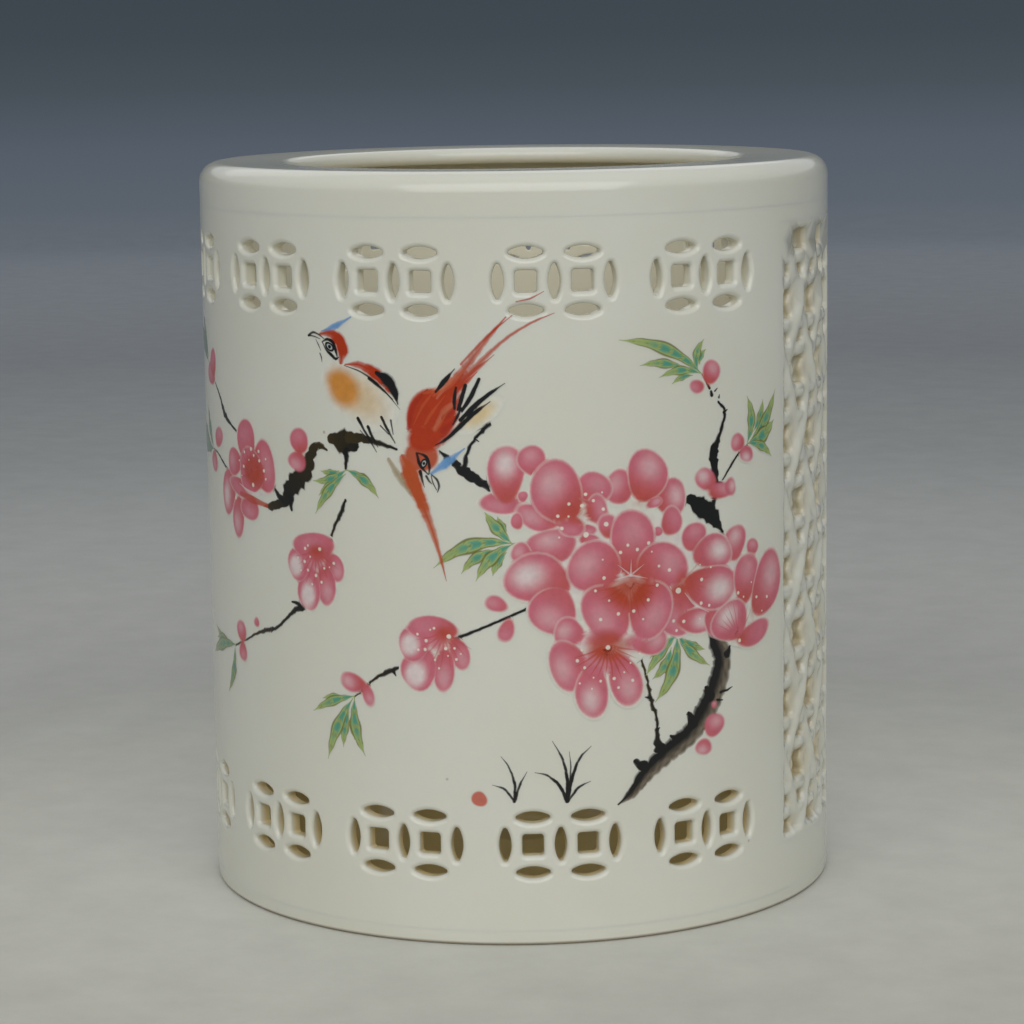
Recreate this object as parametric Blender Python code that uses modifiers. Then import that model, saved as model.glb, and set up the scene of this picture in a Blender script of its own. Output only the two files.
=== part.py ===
"""Pierced porcelain brush pot: a straight cylinder with an in-turned rim, two rows of paired coin
piercings above and below two plain panels, and a pierced lattice panel on each side.

Metres, +Z up. The origin is the centre of the foot, on the surface the pot stands on. The two plain
panels face -Y and +Y, and the two lattice panels face +X and -X. Angles round the pot are measured
from -Y towards +X, so an arc length u on the outer surface is at the angle u / OUTER_RADIUS.
"""

import math

import bmesh
import bpy
from mathutils import Matrix, Vector

# Driving dimensions
OUTER_RADIUS = 0.0600
HEIGHT = 0.1380
WALL = 0.0030
MOUTH_RADIUS = 0.0433
JOINT_GAP = 0.0003
FACETS = 72

# Foot and floor
FOOT_HEIGHT = 0.0025
FOOT_WIDTH = 0.0070
FOOT_CHAMFER = 0.0006
FLOOR_THICKNESS = 0.0040

# Rim collar
COLLAR_SKIRT = 0.0077
FLANGE_THICKNESS = 0.0032
OUTER_ROUND = 0.0036
INNER_ROUND = FLANGE_THICKNESS / 2
UNDER_FILLET = 0.0015

# Coin piercings: two overlapping coins to a pair, five pairs to a plain panel, two rows
COIN_RADIUS = 0.0063
COIN_PITCH = 0.0101
COIN_SQUARE = 0.0042
PAIR_PITCH = 0.0290
PAIRS_PER_PANEL = 5
COIN_ROW_HEIGHTS = (0.0184, 0.1190)
LENS_ARC_STEPS = 3

# Lattice panels: a curved tile with a plain border round a pierced field
PANEL_HALF_WIDTH = 0.0160
PANEL_BOTTOM = 0.0115
PANEL_TOP = 0.1271
FIELD_HALF_WIDTH = 0.01445
FIELD_BOTTOM = 0.0130
FIELD_TOP = 0.1255

# The field's voids: rows of waisted voids, staggered by half a pitch from row to row, each with a
# small trapezium above and below it
COLUMN_PITCH = 0.00645
OUTER_COLUMN = 2
ROW_PITCH = 0.0124
FIRST_ROW = 0.0127
ROWS = 10
WAIST = 0.0020
SHOULDER = 0.0036
WAISTED_HALF_HEIGHT = 0.0030
SMALL_VOID_START = 0.0049
SMALL_VOID_END = 0.0077
SMALL_VOID_BASE = 0.0021
SMALL_VOID_TIP = 0.0008

CUTTER_HALF_DEPTH = 0.0040
MERGE = 0.00002

WALL_BOTTOM = FOOT_HEIGHT + JOINT_GAP
WALL_TOP = HEIGHT - COLLAR_SKIRT - JOINT_GAP
INNER_RADIUS = OUTER_RADIUS - WALL

# Fired colours
CREAM_GLAZE = (0.80, 0.78, 0.69, 1.0)
BISCUIT = (0.62, 0.55, 0.44, 1.0)


def clear_scene():
    for thing in list(bpy.data.objects):
        bpy.data.objects.remove(thing, do_unlink=True)


def new_collection(name):
    group = bpy.data.collections.new(name)
    bpy.context.scene.collection.children.link(group)
    return group


def ceramic(name, colour, roughness):
    """A fired ceramic surface, glossy where glazed and matt where bare."""
    material = bpy.data.materials.new(name)
    material.use_nodes = True
    shader = material.node_tree.nodes["Principled BSDF"]
    shader.inputs["Base Color"].default_value = colour
    shader.inputs["Roughness"].default_value = roughness
    shader.inputs["Metallic"].default_value = 0.0
    return material


def arc_points(centre, radius, start, end, steps):
    """Points on an arc in the (radius, height) plane, angles in degrees."""
    angles = [math.radians(start + (end - start) * i / steps) for i in range(steps + 1)]
    return [(centre[0] + radius * math.cos(a), centre[1] + radius * math.sin(a)) for a in angles]


def turned(name, profile, group, material):
    """A ring turned about Z from a closed profile that runs down its outer side."""
    mesh = bpy.data.meshes.new(name)
    shape = bmesh.new()
    corners = [shape.verts.new((radius, 0.0, height)) for radius, height in profile]
    for first, second in zip(corners, corners[1:] + corners[:1]):
        shape.edges.new((first, second))
    shape.to_mesh(mesh)
    shape.free()
    ring = bpy.data.objects.new(name, mesh)
    group.objects.link(ring)
    mesh.materials.append(material)
    screw = ring.modifiers.new("turn", "SCREW")
    screw.axis = "Z"
    screw.angle = 2 * math.pi
    screw.steps = FACETS
    screw.render_steps = FACETS
    screw.use_merge_vertices = True
    screw.merge_threshold = MERGE
    return ring


def wall_profile():
    return [
        (OUTER_RADIUS, WALL_TOP),
        (OUTER_RADIUS, WALL_BOTTOM),
        (INNER_RADIUS, WALL_BOTTOM),
        (INNER_RADIUS, WALL_TOP),
    ]


def collar_profile():
    """The in-turned rim: a short skirt that carries on the wall, and a flange over the mouth."""
    skirt_bottom = HEIGHT - COLLAR_SKIRT
    underside = HEIGHT - FLANGE_THICKNESS
    shoulder = (OUTER_RADIUS - OUTER_ROUND, HEIGHT - OUTER_ROUND)
    nose = (MOUTH_RADIUS + INNER_ROUND, HEIGHT - INNER_ROUND)
    return (
        arc_points(shoulder, OUTER_ROUND, 90, 0, 4)
        + [(OUTER_RADIUS, skirt_bottom), (INNER_RADIUS, skirt_bottom)]
        + [(INNER_RADIUS, underside - UNDER_FILLET), (INNER_RADIUS - UNDER_FILLET, underside)]
        + arc_points(nose, INNER_ROUND, 270, 90, 4)
    )


def foot_profile():
    return [
        (OUTER_RADIUS, FOOT_HEIGHT),
        (OUTER_RADIUS, FOOT_CHAMFER),
        (OUTER_RADIUS - FOOT_CHAMFER, 0.0),
        (OUTER_RADIUS - FOOT_WIDTH + FOOT_CHAMFER, 0.0),
        (OUTER_RADIUS - FOOT_WIDTH, FOOT_CHAMFER),
        (OUTER_RADIUS - FOOT_WIDTH, FOOT_HEIGHT),
    ]


def floor_disc(group, material):
    """The slab that closes the cylinder, resting on the foot ring inside the wall."""
    shape = bmesh.new()
    radius = INNER_RADIUS - JOINT_GAP
    bmesh.ops.create_cone(
        shape, cap_ends=True, cap_tris=False, segments=FACETS,
        radius1=radius, radius2=radius, depth=FLOOR_THICKNESS,
    )
    mesh = bpy.data.meshes.new("floor_disc")
    shape.to_mesh(mesh)
    shape.free()
    disc = bpy.data.objects.new("floor_disc", mesh)
    disc.location.z = WALL_BOTTOM + FLOOR_THICKNESS / 2
    mesh.materials.append(material)
    group.objects.link(disc)


def on_wall(u, height):
    """The frame of a point on the wall: X along the arc, Y up, Z straight out of the pot."""
    angle = u / OUTER_RADIUS
    middle = OUTER_RADIUS - WALL / 2
    across = Vector((math.cos(angle), math.sin(angle), 0.0))
    out = Vector((math.sin(angle), -math.cos(angle), 0.0))
    frame = Matrix((across, Vector((0.0, 0.0, 1.0)), out)).transposed().to_4x4()
    frame.translation = out * middle + Vector((0.0, 0.0, height))
    return frame


def prism(outline):
    """A straight-sided cutter mesh with a flat outline, through the wall's thickness."""
    data = bpy.data.curves.new("outline", "CURVE")
    data.dimensions = "2D"
    data.fill_mode = "BOTH"
    data.extrude = CUTTER_HALF_DEPTH
    spline = data.splines.new("POLY")
    spline.points.add(len(outline) - 1)
    for point, (across, up) in zip(spline.points, outline):
        point.co = (across, up, 0.0, 1.0)
    spline.use_cyclic_u = True
    holder = bpy.data.objects.new("outline", data)
    bpy.context.scene.collection.objects.link(holder)
    bpy.context.view_layer.update()
    evaluated = holder.evaluated_get(bpy.context.evaluated_depsgraph_get())
    mesh = bpy.data.meshes.new_from_object(evaluated)
    bpy.data.objects.remove(holder)
    shape = bmesh.new()
    shape.from_mesh(mesh)
    bmesh.ops.remove_doubles(shape, verts=shape.verts, dist=MERGE)
    bmesh.ops.recalc_face_normals(shape, faces=shape.faces)
    shape.to_mesh(mesh)
    shape.free()
    return mesh


def cutter_object(name, shape, group):
    """A bmesh as a hidden cutter."""
    mesh = bpy.data.meshes.new(name)
    shape.to_mesh(mesh)
    shape.free()
    tool = bpy.data.objects.new(name, mesh)
    tool.hide_render = True
    tool.display_type = "WIRE"
    group.objects.link(tool)
    return tool


def cutter(name, placed, group):
    """One cutter from (mesh, matrix) pairs of prisms that don't touch."""
    shape = bmesh.new()
    for mesh, frame in placed:
        known = len(shape.verts)
        shape.from_mesh(mesh)
        shape.verts.ensure_lookup_table()
        bmesh.ops.transform(shape, matrix=frame, verts=shape.verts[known:])
    return cutter_object(name, shape, group)


def boolean(target, operation, tool):
    step = target.modifiers.new(tool.name, "BOOLEAN")
    step.operation = operation
    step.solver = "EXACT"
    step.object = tool


def lens_outline(upright):
    """The overlap of two coin circles one pitch apart: two arcs that meet in a point at each end."""
    half_length = math.sqrt(COIN_RADIUS**2 - (COIN_PITCH / 2) ** 2)
    spread = math.atan2(half_length, COIN_PITCH / 2)
    outline = []
    for side in (1, -1):
        for i in range(LENS_ARC_STEPS):
            angle = spread - 2 * spread * i / LENS_ARC_STEPS
            bulge = COIN_RADIUS * math.cos(angle) - COIN_PITCH / 2
            outline.append((side * COIN_RADIUS * math.sin(angle), side * bulge))
    if upright:
        outline = [(-up, across) for across, up in outline]
    return outline


def square_outline():
    half = COIN_SQUARE / 2
    return [(half, half), (-half, half), (-half, -half), (half, -half)]


def coin_pair_holes():
    """(mesh, across, up) of the nine holes of a pair of coins, about the pair's middle."""
    flat_lens = prism(lens_outline(upright=False))
    upright_lens = prism(lens_outline(upright=True))
    square = prism(square_outline())
    holes = [(upright_lens, COIN_PITCH * step, 0.0) for step in (-1, 0, 1)]
    for side in (-0.5, 0.5):
        across = side * COIN_PITCH
        holes.append((square, across, 0.0))
        holes.append((flat_lens, across, COIN_PITCH / 2))
        holes.append((flat_lens, across, -COIN_PITCH / 2))
    return holes


def coin_cutter(group):
    """All the coin holes of both plain panels and both rows."""
    holes = coin_pair_holes()
    placed = []
    middle = (PAIRS_PER_PANEL - 1) / 2
    for panel_centre in (0.0, math.pi * OUTER_RADIUS):
        for pair in range(PAIRS_PER_PANEL):
            centre = panel_centre + (pair - middle) * PAIR_PITCH
            for row_height in COIN_ROW_HEIGHTS:
                for mesh, across, up in holes:
                    placed.append((mesh, on_wall(centre + across, row_height + up)))
    return cutter("coin_holes", placed, group)


def clip(outline, axis, limit, side):
    """The part of an outline on the inner side of one straight limit of the lattice field."""
    kept = []
    for here, after in zip(outline, outline[1:] + outline[:1]):
        depth_here = side * (limit - here[axis])
        depth_after = side * (limit - after[axis])
        if depth_here >= 0:
            kept.append(here)
        if depth_here * depth_after < 0:
            share = depth_here / (depth_here - depth_after)
            kept.append(tuple(h + share * (a - h) for h, a in zip(here, after)))
    return kept


def clip_to_field(outline):
    for axis, limit, side in (
        (0, FIELD_HALF_WIDTH, 1),
        (0, -FIELD_HALF_WIDTH, -1),
        (1, FIELD_TOP, 1),
        (1, FIELD_BOTTOM, -1),
    ):
        outline = clip(outline, axis, limit, side)
    return outline


def waisted_void(across, up):
    """A void pinched at half its height by the corners of the solid knots on either side."""
    corners = [(WAIST, 0.0), (SHOULDER, WAISTED_HALF_HEIGHT), (-SHOULDER, WAISTED_HALF_HEIGHT)]
    corners += [(-x, -y) for x, y in corners]
    return [(across + x, up + y) for x, y in corners]


def small_void(across, up, way):
    """A trapezium between two diagonal strips, above (way 1) or below (way -1) a waisted void."""
    corners = [
        (SMALL_VOID_BASE, SMALL_VOID_START),
        (SMALL_VOID_TIP, SMALL_VOID_END),
        (-SMALL_VOID_TIP, SMALL_VOID_END),
        (-SMALL_VOID_BASE, SMALL_VOID_START),
    ]
    return [(across + x, up + way * y) for x, y in corners]


def lattice_outlines():
    """The voids of a lattice panel, clipped to its field."""
    outlines = []
    for row in range(ROWS):
        up = FIRST_ROW + row * ROW_PITCH
        for column in range(-OUTER_COLUMN, OUTER_COLUMN + 1):
            if (row + column) % 2 == 0:
                across = column * COLUMN_PITCH
                outlines.append(waisted_void(across, up))
                outlines.append(small_void(across, up, 1))
                outlines.append(small_void(across, up, -1))
    return [kept for kept in map(clip_to_field, outlines) if kept]


def lattice_cutter(side_u, group):
    """The voids of one lattice panel, each cut straight through the wall."""
    placed = []
    for outline in lattice_outlines():
        across = sum(x for x, y in outline) / len(outline)
        up = sum(y for x, y in outline) / len(outline)
        about_middle = [(x - across, y - up) for x, y in outline]
        placed.append((prism(about_middle), on_wall(side_u + across, up)))
    return cutter("lattice_voids", placed, group)


def between(name, x_span, y_half, z_span, group):
    """A box-shaped cutter, symmetric about the XZ plane."""
    shape = bmesh.new()
    bmesh.ops.create_cube(shape, size=1.0)
    size = (x_span[1] - x_span[0], 2 * y_half, z_span[1] - z_span[0])
    middle = ((x_span[0] + x_span[1]) / 2, 0.0, (z_span[0] + z_span[1]) / 2)
    bmesh.ops.scale(shape, vec=size, verts=shape.verts)
    bmesh.ops.translate(shape, vec=middle, verts=shape.verts)
    return cutter_object(name, shape, group)


def make_wall(group, tools, material):
    """The cylinder, pierced with the coins and opened on both sides for the lattice panels."""
    wall = turned("wall_cylinder", wall_profile(), group, material)
    boolean(wall, "DIFFERENCE", coin_cutter(tools))
    across = (-2 * OUTER_RADIUS, 2 * OUTER_RADIUS)
    upright = (PANEL_BOTTOM - JOINT_GAP, PANEL_TOP + JOINT_GAP)
    opening = between("panel_openings", across, PANEL_HALF_WIDTH + JOINT_GAP, upright, tools)
    boolean(wall, "DIFFERENCE", opening)


def make_lattice_panels(group, tools, materials):
    """The two pierced tiles, made once on the +X side and turned half round for the -X side."""
    reach = (0.0, 2 * OUTER_RADIUS)
    limits = between("tile_limits", reach, PANEL_HALF_WIDTH, (PANEL_BOTTOM, PANEL_TOP), tools)
    right = turned("lattice_panel_right", wall_profile(), group, materials[0])
    boolean(right, "INTERSECT", limits)
    boolean(right, "DIFFERENCE", lattice_cutter(math.pi / 2 * OUTER_RADIUS, tools))
    bpy.context.view_layer.update()
    evaluated = right.evaluated_get(bpy.context.evaluated_depsgraph_get())
    mesh = bpy.data.meshes.new_from_object(evaluated)
    mesh.materials.clear()
    mesh.materials.append(materials[1])
    left = bpy.data.objects.new("lattice_panel_left", mesh)
    left.rotation_euler.z = math.pi
    group.objects.link(left)


def main():
    clear_scene()
    pot = new_collection("brush_pot")
    tools = new_collection("cutters")
    make_wall(pot, tools, ceramic("wall_glaze", CREAM_GLAZE, 0.12))
    make_lattice_panels(
        pot, tools,
        [ceramic("right_panel_glaze", CREAM_GLAZE, 0.14), ceramic("left_panel_glaze", CREAM_GLAZE, 0.14)],
    )
    turned("rim_collar", collar_profile(), pot, ceramic("collar_glaze", CREAM_GLAZE, 0.10))
    turned("foot_ring", foot_profile(), pot, ceramic("bare_foot", BISCUIT, 0.75))
    floor_disc(pot, ceramic("floor_glaze", CREAM_GLAZE, 0.20))


main()
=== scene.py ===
"""The finished look of the pierced porcelain brush pot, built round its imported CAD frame.

Shapes are drawn in millimetres on the unrolled wall: u runs round the pot from the middle of the
front panel towards +X, z runs up from the table, and out is the height above the glazed surface.
"""
import math

import bpy
import numpy as np
from mathutils import Euler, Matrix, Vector
from mathutils.geometry import delaunay_2d_cdt


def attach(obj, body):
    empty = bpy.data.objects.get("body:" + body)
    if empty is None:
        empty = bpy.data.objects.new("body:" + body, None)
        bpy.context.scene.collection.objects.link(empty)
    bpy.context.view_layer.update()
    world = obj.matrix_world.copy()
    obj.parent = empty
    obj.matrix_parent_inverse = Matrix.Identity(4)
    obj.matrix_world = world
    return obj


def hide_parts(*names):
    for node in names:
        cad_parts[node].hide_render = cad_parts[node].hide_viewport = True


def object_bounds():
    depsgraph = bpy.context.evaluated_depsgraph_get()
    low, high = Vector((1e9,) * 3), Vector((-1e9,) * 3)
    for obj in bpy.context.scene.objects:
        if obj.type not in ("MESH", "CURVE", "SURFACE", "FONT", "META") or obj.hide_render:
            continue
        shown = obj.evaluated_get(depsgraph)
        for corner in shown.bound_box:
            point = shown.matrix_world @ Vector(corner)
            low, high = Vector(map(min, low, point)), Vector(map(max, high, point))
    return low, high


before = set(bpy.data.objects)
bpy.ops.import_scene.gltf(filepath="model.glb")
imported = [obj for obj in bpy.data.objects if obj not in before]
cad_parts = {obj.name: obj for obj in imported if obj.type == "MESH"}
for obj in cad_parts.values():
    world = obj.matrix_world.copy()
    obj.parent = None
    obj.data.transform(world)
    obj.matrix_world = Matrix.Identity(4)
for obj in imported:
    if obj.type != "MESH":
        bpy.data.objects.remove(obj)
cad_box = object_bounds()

MM = 0.001
BODY = "root"

# Sizes of the pot in millimetres, worked out from the CAD's own outside
ARC_RADIUS, _, HEIGHT = (round(edge / MM, 2) for edge in cad_box[1])
SKIN = ARC_RADIUS - 0.15
WALL = 3.0
BORE = ARC_RADIUS - WALL
FOOT_BORE = BORE - 4.0
MOUTH = 43.3
TURN = 2 * math.pi * ARC_RADIUS
DEPTH = SKIN - BORE
WALL_FOOT = 2.65
WALL_HEAD = 130.15

# Coin piercings
COIN_PITCH = 10.1
COIN_SQUARE = 3.7
LENS_LENGTH = 6.0
LENS_WIDTH = 2.0
LENS_TIP = 0.35
PAIR_PITCH = 29.0
PAIRS = 5
COIN_ROWS = (18.4, 119.0)
TILE_REACH = 10.0
GLAZE_ROUND = 0.92
GLAZE_SINK = 0.85
BORE_ROUND = 0.35
TILE_GAP = 0.7
CORNER_POOL = 0.1
CORNER_STEPS = 5

# Lattice panels
PANEL_HALF_WIDTH = 16.0
PANEL_BOTTOM = 11.5
PANEL_TOP = 127.1
FIELD_HALF_WIDTH = PANEL_HALF_WIDTH - 1.55
FIELD_BOTTOM = PANEL_BOTTOM + 1.5
FIELD_TOP = PANEL_TOP - 1.6
COLUMN = 6.45
ROW = 12.4
FIRST_ROW = 12.7
STRAND = 2.5
BAR = 2.1
BAR_OFFSET = 3.95
MELT = 4.6
RELIEF_SINK = 1.3
PANEL_ROUNDING = (1.1, 0.9, 0.25)
FIELD_PITCH = 0.62
FIELD_GAP = 0.3
WEAVE = 0.34
BAR_HEIGHT = 0.85
BAR_WEAVE = 0.22
UNEVEN = 0.09
POKE_RADIUS = 1.35
POKE_SHORTEST = 1.7
VOID_RADIUS = 0.6
SMALLEST_VOID = 1.0

# The camera faces the wall at this arc from the middle of the front panel
VIEW_ARC = 22.0
VIEW = VIEW_ARC / ARC_RADIUS


# ---------------------------------------------------------------- helpers

def linear(r, g, b):
    """A display colour, 0 to 255, as the linear values that shaders take."""
    values = np.array([r, g, b]) / 255.0
    low = values / 12.92
    high = ((values + 0.055) / 1.055) ** 2.4
    return tuple(np.where(values <= 0.04045, low, high))


def outward(u):
    """Unit vectors straight out of the unrolled wall."""
    angle = np.asarray(u) / ARC_RADIUS
    return np.stack([np.sin(angle), -np.cos(angle), 0 * angle], -1)


def on_pot(u, z, out):
    """Metres in the world for points on the unrolled wall."""
    points = outward(u) * (SKIN + out)[..., None]
    points[..., 2] = z
    return points * MM


def ease(x):
    """A smooth step from 0 to 1."""
    x = np.clip(x, 0, 1)
    return x * x * (3 - 2 * x)


def bands(count, rings, first=0):
    """Faces between closed rings of count points that follow one another."""
    faces = []
    for ring in range(rings - 1):
        a, b = first + ring * count, first + (ring + 1) * count
        for i in range(count):
            j = (i + 1) % count
            faces.append([a + i, b + i, b + j, a + j])
    return faces


def make_piece(name, points, faces, material, normals=None, replaced=None):
    """A mesh piece of the pot, riding on its body."""
    mesh = bpy.data.meshes.new(name)
    mesh.from_pydata([tuple(p) for p in points], [], [tuple(int(i) for i in f) for f in faces])
    mesh.materials.append(material)
    mesh.shade_smooth()
    if normals is not None:
        mesh.normals_split_custom_set_from_vertices([tuple(n) for n in normals])
    mesh.update()
    piece = bpy.data.objects.new(name, mesh)
    bpy.context.scene.collection.objects.link(piece)
    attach(piece, BODY)
    if replaced:
        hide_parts(replaced)
    return piece


# ---------------------------------------------------------------- outlines of the piercings

def arc(centre, radius, start, end, steps, poke=1):
    """(x, y, normal x, normal y) on an arc in degrees; poke -1 where solid pokes into the hole."""
    found = []
    for i in range(steps + 1):
        a = math.radians(start + (end - start) * i / steps)
        c, s = math.cos(a), math.sin(a)
        found.append((centre[0] + poke * radius * c, centre[1] + poke * radius * s, c, s))
    return found


def rounded(corners, radii):
    """A polygon, anticlockwise, with each corner rounded; its normals point into the solid."""
    found = []
    count = len(corners)
    for i in range(count):
        corner = Vector(corners[i])
        before = (corner - Vector(corners[i - 1])).normalized()
        after = (Vector(corners[(i + 1) % count]) - corner).normalized()
        turn = math.atan2(before.x * after.y - before.y * after.x, before.dot(after))
        poke = 1 if turn > 0 else -1
        radius = radii[i]
        facing = Vector((before.y, -before.x))
        centre = corner - before * radius * math.tan(abs(turn) / 2) - facing * radius * poke
        first = math.degrees(math.atan2(facing.y, facing.x))
        found += arc(centre, radius, first, first + math.degrees(turn), CORNER_STEPS, poke)
    return found


def lens(upright):
    """The overlap of two coins, with its tips softened by the glaze."""
    half, rise = LENS_LENGTH / 2 - LENS_TIP, LENS_WIDTH / 2 - LENS_TIP
    radius = (half**2 + rise**2) / (2 * rise)
    drop = radius - rise
    spread = math.degrees(math.atan2(half, drop))
    reach = radius + LENS_TIP
    top = arc((0, -drop), reach, 90 - spread, 90 + spread, 12)
    left = arc((-half, 0), LENS_TIP, 90 + spread, 270 - spread, 6)
    bottom = arc((0, drop), reach, 270 - spread, 270 + spread, 12)
    right = arc((half, 0), LENS_TIP, 270 + spread, 450 - spread, 6)
    outline = top + left[1:-1] + bottom + right[1:-1]
    if upright:
        outline = [(-y, x, -ny, nx) for x, y, nx, ny in outline]
    return outline


def coin_pair():
    """The nine holes of a pair of coins about its middle."""
    half = COIN_SQUARE / 2
    square = rounded([(half, half), (-half, half), (-half, -half), (half, -half)], [0.5] * 4)
    holes = [(lens(True), COIN_PITCH * i, 0.0) for i in (-1, 0, 1)]
    for side in (-0.5, 0.5):
        holes.append((square, side * COIN_PITCH, 0.0))
        holes.append((lens(False), side * COIN_PITCH, COIN_PITCH / 2))
        holes.append((lens(False), side * COIN_PITCH, -COIN_PITCH / 2))
    return [np.array([(x + dx, y + dy, nx, ny) for x, y, nx, ny in hole]) for hole, dx, dy in holes]


# ---------------------------------------------------------------- pierced sheets

def inside(outline, x, y):
    """Whether points lie in a closed outline, by the even-odd rule."""
    x, y = np.asarray(x), np.asarray(y)
    found = np.zeros(x.shape, bool)
    x0, y0 = outline[:, 0], outline[:, 1]
    x1, y1 = np.roll(x0, -1), np.roll(y0, -1)
    for ax, ay, bx, by in zip(x0, y0, x1, y1):
        if ay == by:
            continue
        crosses = (ay > y) != (by > y)
        found ^= crosses & (x < (bx - ax) * (y - ay) / (by - ay) + ax)
    return found


def clear_of(loops, points, gap):
    """The points at least a gap away from every hole."""
    keep = np.ones(len(points), bool)
    for loop in loops:
        low, high = loop[:, :2].min(0) - gap, loop[:, :2].max(0) + gap
        near = np.where(keep & np.all((points > low) & (points < high), 1))[0]
        if not len(near):
            continue
        spot = points[near]
        distance = np.sqrt(((spot[:, None, :] - loop[None, :, :2]) ** 2).sum(-1)).min(1)
        bad = (distance < gap) | inside(loop, spot[:, 0], spot[:, 1])
        keep[near[bad]] = False
    return points[keep]


def triangulate(plain, loops):
    """Triangles over plain points and hole loops. Indices count the plain points first."""
    coords = [Vector(p) for p in plain]
    edges = []
    for loop in loops:
        first = len(coords)
        count = len(loop)
        coords += [Vector((x, y)) for x, y in loop[:, :2]]
        edges += [(first + i, first + (i + 1) % count) for i in range(count)]
    spots, _, faces, origin, _, _ = delaunay_2d_cdt(coords, edges, [], 0, 1e-5)
    source = [where[0] if where else -1 for where in origin]
    middles = np.array([sum((spots[i] for i in f), Vector((0, 0))) / 3 for f in faces])
    holed = np.zeros(len(faces), bool)
    for loop in loops:
        holed |= inside(loop, middles[:, 0], middles[:, 1])
    kept = [[source[i] for i in face] for face, gone in zip(faces, holed) if not gone]
    return [corners for corners in kept if min(corners) >= 0]


def hole_levels(outer_round, sink, inner_round, steps=6):
    """(growth, depth, turn) of the rings from the glazed surface through the wall to the bore.

    growth is how far a ring stands back from the throat, and turn is 0 facing out, 90 facing into
    the hole and 180 facing the bore."""
    levels = []
    for i in range(steps + 1):
        a = math.radians(90 * i / steps)
        levels.append((outer_round * (1 - math.sin(a)), sink * (1 - math.cos(a)), a))
    for i in range(steps - 1):
        a = math.radians(90 * i / (steps - 2))
        back = inner_round * (1 - math.cos(a))
        levels.append((back, DEPTH - inner_round * (1 - math.sin(a)), math.pi / 2 + a))
    return [(CORNER_POOL + grow, depth, a) for grow, depth, a in levels]


def slope_normal(relief, u, z):
    """Which way a glazed surface faces, as parts along the wall, up it and out of it."""
    step = 0.05
    du = (relief(u + step, z) - relief(u - step, z)) / (2 * step)
    dz = (relief(u, z + step) - relief(u, z - step)) / (2 * step)
    normal = np.stack([-du, -dz, np.ones_like(du)], -1)
    return normal / np.linalg.norm(normal, axis=1, keepdims=True)


def to_world(local, u):
    """Directions along the wall, up it and out of it, as directions in the world."""
    out, up = outward(u), np.array([0.0, 0.0, 1.0])
    return local[:, :1] * np.cross(up, out) + local[:, 1:2] * up + local[:, 2:] * out


def shell_faces(count, loops, skins, rings):
    """Faces of the glazed surface, then the bore, the holes' sides and the outer edges.

    The points are count plain ones, every ring of all the holes, and the bore's plain ones."""
    size = sum(len(loop) for loop in loops)

    def inner(i):
        """The point of the bore that matches one of the glazed surface."""
        return i + rings * size + count if i < count else i + (rings - 1) * size

    faces = skins + [[inner(i) for i in reversed(f)] for f in skins]
    start = count
    for loop in loops:
        for a in range(start, start + (rings - 1) * size, size):
            b = a + size
            for i in range(len(loop)):
                j = (i + 1) % len(loop)
                faces.append([a + i, a + j, b + j, b + i])
        start += len(loop)
    sides = [pair for face in skins for pair in zip(face, face[1:] + face[:1])]
    known = set(sides)
    for i, j in sides:
        if (j, i) not in known and i < count and j < count:
            faces.append([j, i, inner(i), inner(j)])
    return faces


def pierced_shell(plain, skins, loops, rounding, relief=None):
    """Points, faces and normals of a curved wall with rounded holes.

    plain holds (u, z) points. loops hold throat outlines, whose first rings are numbered after the
    plain points in skins, the glazed faces. relief gives the out height of the glaze anywhere."""
    relief = relief or (lambda u, z: np.zeros_like(u))
    levels = hole_levels(*rounding)
    plain = np.asarray(plain)
    ring = np.concatenate(loops)
    points = [on_pot(plain[:, 0], plain[:, 1], relief(plain[:, 0], plain[:, 1]))]
    normals = [to_world(slope_normal(relief, plain[:, 0], plain[:, 1]), plain[:, 0])]
    first_u = ring[:, 0] + ring[:, 2] * levels[0][0]
    first_z = ring[:, 1] + ring[:, 3] * levels[0][0]
    top = relief(first_u, first_z)
    facing = slope_normal(relief, first_u, first_z)
    into = np.stack([-ring[:, 2], -ring[:, 3], np.zeros(len(ring))], -1)
    for grow, depth, a in levels:
        u = ring[:, 0] + ring[:, 2] * grow
        z = ring[:, 1] + ring[:, 3] * grow
        if a <= math.pi / 2:
            height = top - depth
            local = math.cos(a) * facing + math.sin(a) * into
        else:
            height = np.full(len(ring), -depth)
            local = math.cos(a) * np.array([0, 0, 1.0]) + math.sin(a) * into
        local = local / np.linalg.norm(local, axis=1, keepdims=True)
        points.append(on_pot(u, z, height))
        normals.append(to_world(local, u))
    points.append(on_pot(plain[:, 0], plain[:, 1], np.full(len(plain), -DEPTH)))
    normals.append(to_world(np.tile([0.0, 0.0, -1.0], (len(plain), 1)), plain[:, 0]))
    faces = shell_faces(len(plain), loops, skins, len(levels))
    return np.concatenate(points), faces, np.concatenate(normals)


# ---------------------------------------------------------------- the wall

def even(start, end, steps):
    """Equal steps after start, up to and with end."""
    return [start + (end - start) * i / steps for i in range(1, steps + 1)]


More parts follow.
